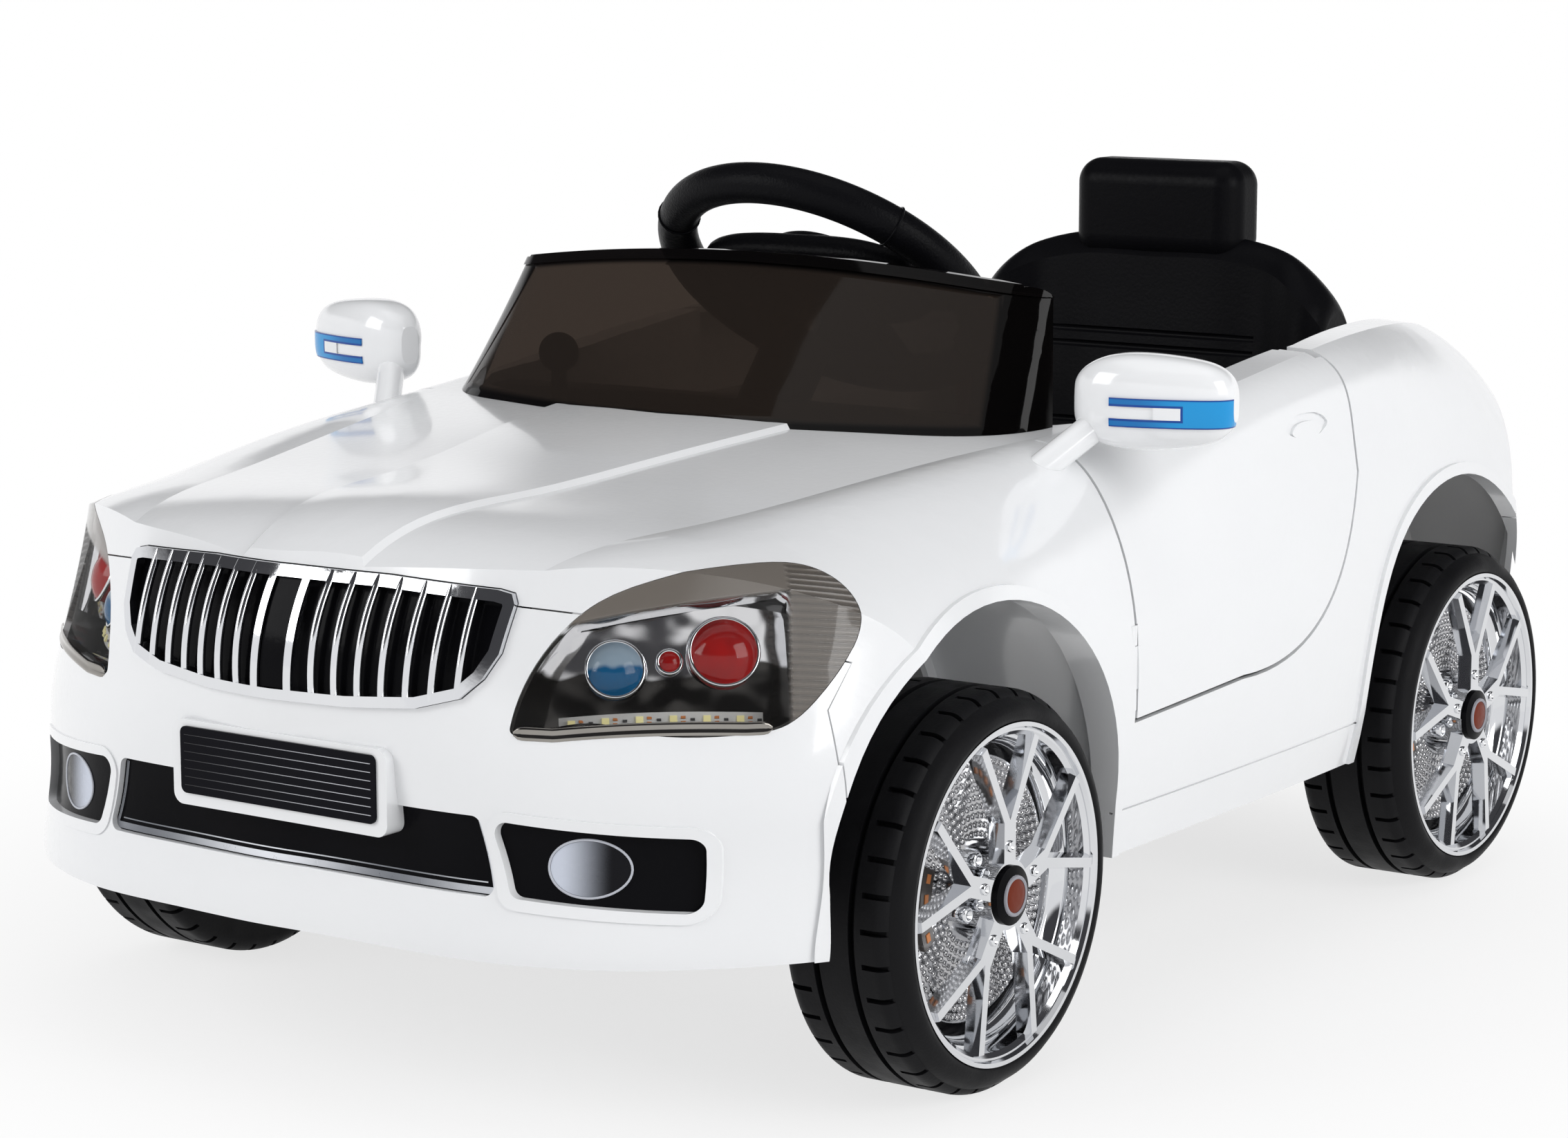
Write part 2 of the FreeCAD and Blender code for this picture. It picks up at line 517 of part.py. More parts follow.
def cockpit_prism():
    """Cockpit opening through the top of the skin, its front following the windscreen."""
    margin = C.cockpit_margin
    depth = C.screen_foot_mid - C.screen_foot_end
    half = []
    for x_share, y_share in SCREEN_SHARES[:-1]:
        half.append(((C.screen_foot_side - margin) * x_share, depth * y_share - C.screen_foot_mid + margin))
    half += [(C.cockpit_half_width, -C.cockpit_wide_start), (C.cockpit_half_width, C.cockpit_taper_start),
             (C.cockpit_notch_half, C.cockpit_notch), (C.cockpit_rear_half, C.cockpit_rear)]
    loop = half + [(-x, y) for x, y in reversed(half[1:])]
    return ring_face([V(x, y, C.tray_rim) for x, y in loop]).extrude(UP * C.deck_height)


def lamp_axes():
    """Outward, lengthwise and upward directions of the left headlight."""
    turn = math.radians(C.lamp_turn)
    lift = math.radians(C.lamp_lift)
    out = V(math.sin(turn) * math.cos(lift), -math.cos(turn) * math.cos(lift), math.sin(lift))
    along = V(math.cos(turn), math.sin(turn), 0)
    return out, along, out.cross(along)


def lamp_point(x_share, z_share, reach):
    """Point inside the left headlight."""
    out, along, rise = lamp_axes()
    u = C.lamp_plane_start + C.lamp_length * x_share
    v = C.lamp_plane_foot + C.lamp_height * z_share
    return out * reach + along * u + rise * v


def lamp_prism(extra, reach_from, reach_to):
    """Left headlight outline, grown by a margin and pushed out along the lamp's own direction."""
    out = lamp_axes()[0]
    loop = [lamp_point(x_share, z_share, reach_from) for x_share, z_share in LAMP_SHARES]
    points = []
    for i, point in enumerate(loop):
        along = loop[(i + 1) % len(loop)].sub(loop[i - 1]).normalize()
        points.append(point + out.cross(along) * extra)
    return smooth_face(points).extrude(out * (reach_to - reach_from))


def grille_face(y):
    """Grille outline on a plane across the car."""
    half = [(C.grille_half_width * x, C.grille_foot + C.grille_height * z) for x, z in GRILLE_SHARES]
    return front_face(half + [(-x, z) for x, z in reversed(half[1:-1])], y)


def grille_prism(extra):
    """Grille outline through the nose."""
    face = grille_face(-C.half_length - C.nose_depth)
    if extra:
        face = grown(face, extra)
    return face.extrude(REAR * (2 * C.nose_depth))


def intake_pairs(extra):
    """Lower intake outline, grown by a margin."""
    top, low = C.intake_top_half + extra, C.intake_low_half + extra
    return [(top, C.intake_top + extra), (-top, C.intake_top + extra),
            (-low, C.intake_foot - extra), (low, C.intake_foot - extra)]


def fog_pairs(extra):
    """Left fog panel outline, grown by a margin."""
    return [(C.fog_inner_top - extra, C.fog_top_inner + extra),
            (C.fog_outer + extra, C.fog_top_outer + extra),
            (C.fog_outer + extra, C.fog_foot_outer - extra),
            (C.fog_inner_low - extra, C.fog_foot_inner - extra)]


def tail_prism(extra):
    """Left tail light outline through the tail."""
    low, high = C.tail_foot - extra, C.tail_top + extra
    pairs = [(C.tail_inner - extra, low), (C.tail_outer + extra, low), (C.tail_outer + extra, high),
             (C.tail_inner - extra, high)]
    return front_face(pairs, C.half_length - C.tail_depth).extrude(REAR * (2 * C.tail_depth))


# Upright hinge line of the left door, inside the skin's front door edge

HINGE = V(C.hinge_reach, -C.hinge_setback, C.hinge_height)


def hinge_rod(radius, start, end):
    """Round bar on the hinge line between two distances from its middle."""
    return rod(radius, HINGE + UP * start, HINGE + UP * end)


HALF_BARREL = C.hinge_barrel / 2
LUG_START = HALF_BARREL + C.hinge_play
LUG_END = LUG_START + C.hinge_lug


def hinge_lugs(extra, grow=0):
    """Two lugs of the body on the hinge line."""
    radius = C.hinge_barrel_radius + extra
    upper = hinge_rod(radius, LUG_START - grow, LUG_END + grow)
    lower = hinge_rod(radius, -LUG_END - grow, -LUG_START + grow)
    return [upper, lower]


def hinge_links(bars, shift):
    """Copies of hinge bars moved along the car to reach a panel."""
    links = []
    for bar in bars:
        link = bar.copy()
        link.translate(REAR * shift)
        links.append(link)
    return links


# Body panels

def below_sill():
    """Space under the lower edge of the skin."""
    return block(-FAR, FAR, -FAR, FAR, 0, C.skin_bottom)


LIPS = []


def arch_lips():
    """Inward lips of the four wheel arches, still without their openings."""
    if not LIPS:
        for axle_y in (FRONT_AXLE_Y, REAR_AXLE_Y):
            lip = arch_prism(axle_y, C.arch_lip_width, C.arch_lip_inner, C.arch_lip_outer)
            LIPS.extend(both(lip.cut(below_sill()).common(skin(-C.arch_lip_proud))))
    return LIPS


def front_liners():
    """Wheel well liners behind the front fenders: a tunnel and its inner wall, clear of the headlights."""
    outer = C.arch_lip_width + C.liner_wall
    tunnel = arch_prism(FRONT_AXLE_Y, outer, C.liner_inner, FAR)
    tunnel = tunnel.cut(arch_prism(FRONT_AXLE_Y, C.arch_lip_width, C.liner_inner + C.liner_wall, FAR))
    foot = block(0, C.liner_inner + C.liner_wall, -FAR, FAR, 0, C.liner_foot)
    tunnel = tunnel.common(skin(C.skin_wall / 2)).cut([below_sill(), foot, bumper_zone(0)])
    lamp = lamp_prism(C.flange_overlap + C.seam_gap, C.lamp_inner_reach, C.lamp_outer_reach)
    return both(tunnel.cut(lamp.cut(skin(C.lamp_depth + C.seam_gap))))


def arch_openings():
    """Cutters of the four wheel arches."""
    return [hole for axle_y in (FRONT_AXLE_Y, REAR_AXLE_Y)
            for hole in both(arch_prism(axle_y, 0, C.arch_reach, FAR))]


def posts_under_skin(x, y, foot):
    """Screw posts from a foot up to the skin, one each side."""
    post = rod(C.post_radius, V(x, y, foot), V(x, y, C.deck_height)).common(skin(C.skin_wall))
    return both(post.fuse(rod(C.post_radius, V(x, y, foot), V(x, y, foot + C.post_foot))))


def screw_places():
    """Seats of the body's screws: width, length, foot of the post, underside of the seat."""
    foot = C.tray_floor + C.tray_wall + C.screw_boss
    seat = C.tray_floor + C.screw_recess
    return [(C.front_post_x, -C.front_post_y, foot, seat), (C.mid_post_x, -C.mid_post_y, foot, seat),
            (C.rear_post_x, C.rear_post_y, C.tray_rim, C.tray_rim - C.tray_wall)]


def screw_bores(fit):
    """Screw shafts up into the posts."""
    bores = []
    for x, y, foot, seat in screw_places():
        bores += both(rod(C.screw_radius + fit, V(x, y, seat), V(x, y, foot + C.screw_length)))
    return bores


def screw_recesses():
    """Room for the screw heads under their seats."""
    recesses = []
    for x, y, foot, seat in screw_places():
        radius = C.screw_head_radius + C.screw_head_play
        recesses += both(rod(radius, V(x, y, seat - C.screw_recess), V(x, y, seat)))
    return recesses


def screw_bosses():
    """Bosses of the tray under the posts that stand on its floor."""
    bosses = []
    for x, y, foot, seat in screw_places():
        bosses += both(rod(C.post_radius, V(x, y, seat - C.screw_recess), V(x, y, foot)))
    return bosses[:-2]


def make_body_shell(lamps):
    """Hood, fenders, sills, rear quarters and deck in one moulding."""
    shell = skin(0).cut(skin(C.skin_wall)).cut(below_sill())
    shell = shell.fuse(arch_lips() + front_liners()).cut(arch_openings())
    shell = shell.cut([bumper_zone(0), rear_zone(0), cockpit_prism(), grille_prism(0)] + lamps
                      + both(tail_prism(0)) + both(door_prism(0)))
    posts = []
    for x, y, foot, seat in screw_places():
        posts += posts_under_skin(x, y, foot)
    groove = block(-FAR, FAR, FRONT_AXLE_Y, REAR_AXLE_Y, C.sill_line, C.sill_line + C.sill_line_width)
    shell = shell.cut(between(groove, -C.tail_proud, C.insert_wall))
    lugs = hinge_lugs(0)
    hinges = both(join(lugs[0], *hinge_links(lugs[:1], -C.hinge_link)))
    hinges += both(join(lugs[1], *hinge_links(lugs[1:], -C.hinge_link)))
    shell = shell.fuse(posts + hinges)
    clear = both(hinge_rod(C.hinge_barrel_radius + C.hinge_play, -LUG_START, LUG_START))
    shell = shell.cut(clear + hinge_pins(0) + screw_bores(C.screw_fit))
    feature("body_shell", shell)


def hinge_pins(fit):
    """Pins of both doors."""
    return both(hinge_rod(C.hinge_pin_radius + fit, -LUG_END, LUG_END))


def make_bumpers(lamps):
    """Front bumper with its windows and plate holder, and the plainer rear bumper."""
    zone = bumper_zone(C.seam_gap)
    bumper = between(zone, 0, C.skin_wall).cut(below_sill())
    lips = [lip.common(zone) for lip in arch_lips()[:2]]
    windows = [rounded_front(intake_pairs(0), C.bezel_round), grille_prism(0)]
    windows += both(rounded_front(fog_pairs(0), C.window_round))
    frame = rounded_front(fog_pairs(C.fog_frame_width), C.window_round + C.fog_frame_width)
    bumper = bumper.fuse(lips + both(between(frame, -C.fog_frame_proud, C.skin_wall)))
    bumper = bumper.cut(arch_openings()[:2] + lamps + windows)
    reach = C.plate_half_width + C.plate_border
    face = -C.half_length + C.plate_face_setback
    holder = block(-reach, reach, face, -C.half_length + C.bumper_seam_mid_setback,
                   C.plate_foot - C.plate_border, C.plate_foot + C.plate_height + C.plate_border / 2)
    holder = round_along(holder, C.plate_border).cut(skin(C.skin_wall))
    feature("front_bumper", bumper.fuse([holder] + bumper_stays(-FAR, -C.tray_front)))

    zone = rear_zone(C.seam_gap)
    rear = between(zone, 0, C.skin_wall).cut(below_sill())
    lips = [lip.common(zone) for lip in arch_lips()[2:]]
    rear = rear.fuse(lips).cut(arch_openings()[2:])
    feature("rear_bumper", rear.fuse(bumper_stays(C.tray_rear, FAR)))


def handle_prism(size, drop):
    """Lens outline of the door handle, through the side of the car."""
    points = []
    for x_share, z_share in HANDLE_SHARES:
        points.append(V(C.door_inner, C.handle_y + C.handle_half_length * x_share * size,
                        C.handle_height + C.handle_half_height * z_share * size - drop))
    return smooth_face(points).extrude(LEFT * C.arch_reach)


def make_doors():
    """Front-hinged doors: outer skin, rolled top edge and inner panel."""
    outline = door_prism(-C.door_gap)
    outer = between(outline, 0, C.skin_wall).cut(cockpit_prism())
    inner = C.door_inner - C.door_inner_wall
    panel = block(inner, C.door_inner, -C.half_length, C.door_rear - C.door_relief, C.tray_rim, C.deck_height)
    panel = panel.common(door_prism(-C.door_relief)).common(skin(0))
    barrel = hinge_rod(C.hinge_barrel_radius, -HALF_BARREL, HALF_BARREL)
    heel = block(inner, C.door_inner + 2 * C.door_relief, C.door_rear - C.door_heel, FAR, 0, FAR)
    flap = handle_prism(HANDLE_FLAP, C.handle_flap_drop)
    outer = outer.cut(between(handle_prism(1, 0).cut(flap), -C.tail_proud, C.insert_wall))
    door = outer.cut(heel).fuse(panel).cut(hinge_lugs(C.hinge_play, C.hinge_play))
    door = door.fuse([barrel] + hinge_links([barrel], C.hinge_link))
    door = door.cut(hinge_rod(C.hinge_pin_radius + C.hinge_fit, -LUG_END, LUG_END))
    feature("door_left", door)
    feature("door_right", mirrored(door))
    feature("door_hinge_pins", Part.makeCompound(hinge_pins(0)))


def bumper_stays(y_from, y_to):
    """Bars that join a bumper to the tray."""
    x = C.bumper_post_x
    bar = block(x, x + C.bumper_post_width, y_from, y_to, C.bumper_post_foot,
                C.bumper_post_foot + C.bumper_post_height)
    return both(bar.common(skin(C.skin_wall)))


def grille_front(x, z, bow):
    """Point on the nose at a width and height, moved forward."""
    line = line_edge(V(x, -FAR, z), V(x, 0, z)).common(skin(0))
    return V(x, min(vertex.Y for vertex in line.Vertexes) - bow, z)


def grille_bar(x, low, high):
    """Round upright bar that bows forward between the frame's foot and head."""
    middle = grille_front(x, (low + high) / 2, C.grille_bow)
    points = [grille_front(x, low, 0), middle, grille_front(x, high, 0)]
    path = Part.Wire(Part.Arc(*points).toShape())
    way = path.Edges[0].tangentAt(path.Edges[0].FirstParameter)
    ring = Part.Wire(Part.makeCircle(C.grille_bar_radius, points[0], way))
    return path.makePipeShell([ring], True, True)


def make_grille():
    """Chrome frame with upright bars, and the black backing with its centre strip."""
    plane = -C.half_length - C.nose_depth
    through = REAR * (2 * C.nose_depth)
    outer = grown(grille_face(plane), -C.window_gap)
    inner = grown(outer, -C.grille_frame_width)
    low, high = C.grille_foot, C.grille_foot + C.grille_height
    frame = outer.extrude(through).cut(inner.extrude(through))
    half = C.grille_bar_width / 2
    posts, bars = [], []
    for side in (-1, 1):
        x = side * (C.grille_centre_half + half)
        posts.append(block(x - half, x + half, plane, plane + 2 * C.nose_depth, low, high))
        for i in range(1, int(C.grille_bars) + 1):
            bars.append(grille_bar(x + side * i * C.grille_bar_pitch, low, high))
    posts = [post.common(outer.extrude(through)) for post in posts]
    bars = [bar.common(outer.extrude(through)) for bar in bars]
    frame = between(frame.fuse(posts).removeSplitter(), -C.grille_proud, C.skin_wall)
    feature("grille_frame", frame.fuse(bars))
    strip_half = C.grille_centre_half - C.window_gap
    margin = C.grille_frame_width + 2 * C.window_gap
    strip = block(-strip_half, strip_half, plane, plane + 2 * C.nose_depth, low + margin, high - margin)
    strip = between(strip, -C.grille_strip_proud, C.skin_wall)
    backing = between(grille_prism(C.flange_overlap), C.skin_wall, C.skin_wall + C.insert_wall)
    feature("grille_backing", backing.fuse(strip))


def make_front_panels():
    """Lower intake panel, fog panels and the blank number plate."""
    wall = C.skin_wall
    intake = between(through_front(intake_pairs(C.insert_wall)), wall, wall + C.insert_wall)
    feature("lower_intake", intake)
    fog = between(through_front(fog_pairs(C.insert_wall)), wall, wall + C.insert_wall)
    feature("fog_panels", Part.makeCompound(both(fog)))
    face = -C.half_length + C.plate_face_setback
    plate = block(-C.plate_half_width, C.plate_half_width, face - C.plate_wall, face, C.plate_foot,
                  C.plate_foot + C.plate_height)
    feature("number_plate", round_along(plate, C.plate_round))


def lamp_bulb(x_share, z_share, radius, depth):
    """Lamp with a domed front, seated at a depth below the skin."""
    out = lamp_axes()[0]
    start = lamp_point(x_share, z_share, C.lamp_inner_reach)
    end = lamp_point(x_share, z_share, C.lamp_outer_reach)
    inside = line_edge(start, end).common(skin(depth))
    seat = max((vertex.Point for vertex in inside.Vertexes), key=lambda point: point.dot(out))
    sink, swell = DOME_SHARES
    dome = Part.makeSphere(radius * swell, seat - out * (radius * sink))
    return between(rod(radius, start, end).common(dome), C.skin_wall + C.insert_wall, depth)


def make_headlights():
    """Lens, reflector bowl, lamps and LED strip of each headlight."""
    wall, back = C.skin_wall, C.lamp_depth - C.insert_wall
    near, far = C.lamp_inner_reach, C.lamp_outer_reach
    lens = between(lamp_prism(-C.window_gap, near, far), 0, wall)
    bowl = between(lamp_prism(C.flange_overlap, near, far), wall, C.lamp_depth)
    bowl = bowl.cut(between(lamp_prism(-C.insert_wall, near, far), 0, back))
    for side, twin in (("left", False), ("right", True)):
        feature("headlight_lens_" + side, mirrored(lens) if twin else lens)
        feature("headlight_reflector_" + side, mirrored(bowl) if twin else bowl)
    blue, red, small = LAMP_PLACE_SHARES
    lamps = {"blue_lamps": [(*blue, C.blue_lamp_radius)],
             "red_lamps": [(*red, C.red_lamp_radius), (*small, C.small_lamp_radius)]}
    for label, places in lamps.items():
        solids = []
        for x_share, z_share, radius in places:
            solids += both(lamp_bulb(x_share, z_share, radius, back))
        feature(label, Part.makeCompound(solids))
    start, end, height = LED_STRIP_SHARES
    ends = [lamp_point(x, height, near) for x in (start, end)]
    rise = lamp_point(0.0, 1.0, near).sub(lamp_point(0.0, 0.0, near)).normalize() * C.led_strip_height
    face = ring_face([ends[0], ends[1], ends[1] + rise, ends[0] + rise])
    strip = face.extrude(lamp_point(0.0, 0.0, far).sub(lamp_point(0.0, 0.0, near)))
    seat = back - C.led_strip_gap
    strip = between(strip, seat - C.led_strip_wall, seat)
    feature("led_strips", Part.makeCompound(both(strip)))


def make_tail_lights():
    """Red rear lamps with a flange behind the skin."""
    wall = C.skin_wall
    lens = between(tail_prism(-C.window_gap), -C.tail_proud, wall)
    flange = between(tail_prism(C.insert_wall), wall, wall + C.insert_wall)
    feature("tail_lights", Part.makeCompound(both(lens.fuse(flange))))


# Windscreen and mirrors

def screen_wire(half_width, mid, end, height, grow=0):
    """Closed band of the windscreen's wall at one height, thickened both ways."""
    depth = mid - end
    half = [(half_width * x, depth * y - mid) for x, y in SCREEN_SHARES]
    loop = [(-x, y) for x, y in reversed(half[1:])] + half
    outer, inner = [], []
    for i, (x, y) in enumerate(loop):
        before = loop[max(i - 1, 0)]
        after = loop[min(i + 1, len(loop) - 1)]
        along = V(after[0] - before[0], after[1] - before[1], 0).normalize()
        outer.append(V(x + along.y * grow, y - along.x * grow, height))
        depth_in = C.screen_wall + grow
        inner.append(V(x - along.y * depth_in, y + along.x * depth_in, height))
    edges = [spline_edge(outer), line_edge(outer[-1], inner[-1]), spline_edge(inner[::-1]),
             line_edge(inner[0], outer[0])]
    return Part.Wire(edges)


def screen_sheet(grow):
    """Windscreen wall before its top is cut."""
    foot = screen_wire(C.screen_foot_side, C.screen_foot_mid, C.screen_foot_end, C.screen_foot, grow)
    top = screen_wire(C.screen_top_side, C.screen_top_mid, C.screen_top_end, C.screen_top, grow)
    return Part.makeLoft([foot, top], True, True)


def under_crown(drop):
    """Space under the windscreen's crowned top edge, lowered by a drop."""
    wide = C.screen_foot_side * 2
    middle = C.screen_centre_height - drop
    low = middle - C.screen_crown * (wide / C.screen_top_side) ** 2
    ends = [V(-wide, -C.half_length, low), V(wide, -C.half_length, low)]
    crown = Part.Arc(ends[0], V(0, -C.half_length, middle), ends[1]).toShape()
    floor = [V(p.x, p.y, 0) for p in ends]
    edges = [crown, line_edge(ends[1], floor[1]), line_edge(floor[1], floor[0]), line_edge(floor[0], ends[0])]
    return Part.Face(Part.Wire(edges)).extrude(REAR * FAR)


def screen_corners():
    """Cutter that rounds the rear top corners of the windscreen."""
    top = C.screen_centre_height - C.screen_crown
    share = (top - C.screen_foot) / (C.screen_top - C.screen_foot)
    end = -C.screen_foot_end + (C.screen_foot_end - C.screen_top_end) * share
    radius = C.screen_corner
    square = block(-FAR, FAR, end - radius, FAR, top - radius, FAR)
    return square.cut(rod(radius, V(-FAR, end - radius, top - radius), V(FAR, end - radius, top - radius)))


def make_windscreen():
    """Smoked screen that wraps round at the sides, stands on the hood and has a beaded top."""
    sheet = screen_sheet(0).common(under_crown(0))
    bead = screen_sheet(C.screen_bead).common(under_crown(0)).cut(under_crown(C.screen_bead_height))
    feature("windscreen", sheet.fuse(bead).removeSplitter().cut([skin(0), screen_corners()]))


def mirror_loop(reach_share, depth_share, height_share, grow):
    """Rounded section of the mirror housing."""
    x = C.mirror_inner + (C.mirror_outer - C.mirror_inner) * reach_share
    mid_y = -C.mirror_front + C.mirror_depth / 2
    mid_z = C.mirror_foot + C.mirror_height / 2
    half_y = C.mirror_depth / 2 * depth_share + grow
    half_z = C.mirror_height / 2 * height_share + grow
    points = []
    for step in range(MIRROR_POINTS):
        turn = 2 * math.pi * step / MIRROR_POINTS
        bow_y = math.copysign(abs(math.cos(turn)) ** MIRROR_POWER, math.cos(turn))
        bow_z = math.copysign(abs(math.sin(turn)) ** MIRROR_POWER, math.sin(turn))
        points.append(V(x, mid_y + half_y * bow_y, mid_z + half_z * bow_z))
    curve = Part.BSplineCurve()
    curve.interpolate(Points=points, PeriodicFlag=True)
    return Part.Wire(curve.toShape())


def mirror_form(grow):
    """Solid form of the left mirror housing."""
    return Part.makeLoft([mirror_loop(*row, grow) for row in MIRROR_SHARES], True, False)


def swept(shape):
    """Mirror piece turned back about the mirror's inner end."""
    turned = shape.copy()
    turned.rotate(V(C.mirror_inner, -C.mirror_front + C.mirror_depth / 2, 0), UP, C.mirror_sweep)
    return turned


def make_mirrors():
    """Housings on stalks, blue front lights and rear glasses."""
    form = mirror_form(0)
    rear = -C.mirror_front + C.mirror_depth
    glass_front = rear - C.mirror_glass_inset
    behind = block(0, FAR, glass_front, FAR, 0, FAR)
    base = V(C.mirror_base_x, -C.mirror_base_y, C.mirror_base_height)
    head = V(C.mirror_stalk_x, -C.mirror_stalk_y, C.mirror_stalk_height)
    stalk = rod(C.mirror_stalk_radius, base, head)
    stalk = stalk.fuse(Part.makeSphere(C.mirror_stalk_radius, head)).cut(skin(0))
    housing = swept(form.cut(behind)).fuse(stalk.cut(swept(behind)))
    slot = block(C.mirror_light_inner, FAR, -FAR, -C.mirror_front + C.mirror_depth / 2,
                 C.mirror_light_foot, C.mirror_light_top)
    middle = (C.mirror_light_foot + C.mirror_light_top) / 2
    half = (C.mirror_light_top - C.mirror_light_foot) / 2 - C.mirror_light_bar
    tongue = block(0, C.mirror_outer - C.mirror_depth, -FAR, FAR, middle - half, middle + half)
    light = mirror_form(C.mirror_light_gap + C.mirror_light_proud).cut(mirror_form(C.mirror_light_gap))
    light = light.common(slot).cut(tongue)
    light = swept(max(light.Solids, key=lambda solid: solid.Volume))
    glass = swept(form.common(block(0, FAR, glass_front, glass_front + C.mirror_glass_wall, 0, FAR)))
    for side, twin in (("left", False), ("right", True)):
        feature("mirror_housing_" + side, mirrored(housing) if twin else housing)
    feature("mirror_lights", Part.makeCompound(both(light)))
    feature("mirror_glasses", Part.makeCompound(both(glass)))


# Chassis tray and what is fixed in it

def tray_plan(inset):
    """Plan outline of the tray behind the bulkhead, moved inwards."""
    mid, rear = C.tray_mid_half - inset, C.tray_rear_half - inset
    step = C.tray_mid_rear - inset
    half = [(mid, -C.tray_mid_front + inset), (mid, step), (rear, step), (rear, C.tray_rear - inset)]
    return half + [(-x, y) for x, y in reversed(half)]


def steer_axis():
    """Direction of the steering column, up and back towards the driver."""
    tilt = math.radians(C.steer_tilt)
    return V(0, math.sin(tilt), math.cos(tilt))


def steer_down():
    """Direction from the steering wheel's middle to the driver's lap, in its own plane."""
    tilt = math.radians(C.steer_tilt)
    return V(0, math.cos(tilt), -math.sin(tilt))


STEER_CENTRE = V(0, C.steer_centre_back, C.steer_centre_height)


def on_column(distance):
    """Point on the column's line below the steering wheel."""
    return STEER_CENTRE - steer_axis() * distance


def make_tray():
    """Floor, walls, bulkhead, sill ledges and brackets of the chassis."""
    floor, wall = C.tray_floor, C.tray_wall
    outer = ring_face([V(x, y, floor) for x, y in tray_plan(0)]).extrude(UP * (C.tray_rim - floor))
    inner = ring_face([V(x, y, floor + wall) for x, y in tray_plan(wall)]).extrude(UP * C.tray_rim)
    tub = outer.cut(inner)
    front = C.tray_front_half
    nose = block(-front, front, -C.tray_front, -C.tray_mid_front + wall, floor, floor + wall)
    lip = block(-front, front, -C.tray_front, -C.tray_front + wall, floor, C.tray_front_wall_top)
    bulkhead = block(-C.tray_mid_half, C.tray_mid_half, -C.tray_mid_front, -C.tray_mid_front + wall,
                     floor, C.bulkhead_top)
    ledge = block(C.tray_mid_half - wall, C.sill_ledge_outer, -C.sill_ledge_front, C.sill_ledge_rear,
                  C.tray_rim - wall, C.tray_rim)
    flange = block(-C.tray_rear_half, C.tray_rear_half, C.tray_rear - C.tray_rear_flange, C.tray_rear,
                   C.tray_rim - wall, C.tray_rim)
    housing = block(C.tray_rear_half - wall, FAR, C.housing_front, C.housing_rear, C.tray_rim, C.housing_top)
    housing = housing.common(skin(C.skin_wall))
    flange_zone = between(tail_prism(C.insert_wall + C.seam_gap), 0, C.skin_wall + C.insert_wall + C.seam_gap)
    housing = housing.cut([arch_prism(REAR_AXLE_Y, C.housing_gap, C.tray_rear_half, FAR), flange_zone])
    half = C.axle_clamp_width / 2
    clamp = block(C.axle_clamp_x - half, C.axle_clamp_x + half, FRONT_AXLE_Y - C.axle_clamp_depth / 2,
                  FRONT_AXLE_Y + C.axle_clamp_depth / 2, floor, C.axle_height - C.beam_height / 2)
    ears = []
    for side in (-1, 1):
        x = -C.pedal_x + side * (C.pedal_width / 2 + C.pedal_play + C.pedal_bracket / 2)
        ears.append(block(x - C.pedal_bracket / 2, x + C.pedal_bracket / 2, -C.pedal_y - C.pedal_ear_half,
                          -C.pedal_y + C.pedal_ear_half, floor, C.pedal_pivot + C.pedal_ear_rise))
    tray = tub.fuse([nose, lip, bulkhead, flange] + both(ledge) + both(clamp) + both(housing) + ears
                    + screw_bosses())
    tray = tray.removeSplitter()
    holes = [rod(C.bulkhead_hole, on_column(0), on_column(C.column_reach))]
    holes += both(rod(C.boss_hole, V(C.gearbox_inner, REAR_AXLE_Y, C.axle_height),
                      V(C.tyre_inner, REAR_AXLE_Y, C.axle_height)))
    pin = V(-C.pedal_x, -C.pedal_y, C.pedal_pivot)
    reach = LEFT * (C.pedal_width / 2 + C.pedal_play + C.pedal_bracket)
    holes.append(rod(C.pedal_pin_radius + C.pedal_fit, pin - reach, pin + reach))
    feature("chassis_tray", tray.cut(holes + screw_bores(C.screw_fit) + screw_recesses()))


def make_screws():
    """Screws that hold the body's posts to the tray from below."""
    solids = []
    for x, y, foot, seat in screw_places():
        under = V(x, y, seat)
        shaft = rod(C.screw_radius, under, V(x, y, foot + C.screw_length))
        head = rod(C.screw_head_radius, under - UP * C.screw_head_height, under)
        solids += both(join(shaft, head))
    feature("body_screws", Part.makeCompound(solids))


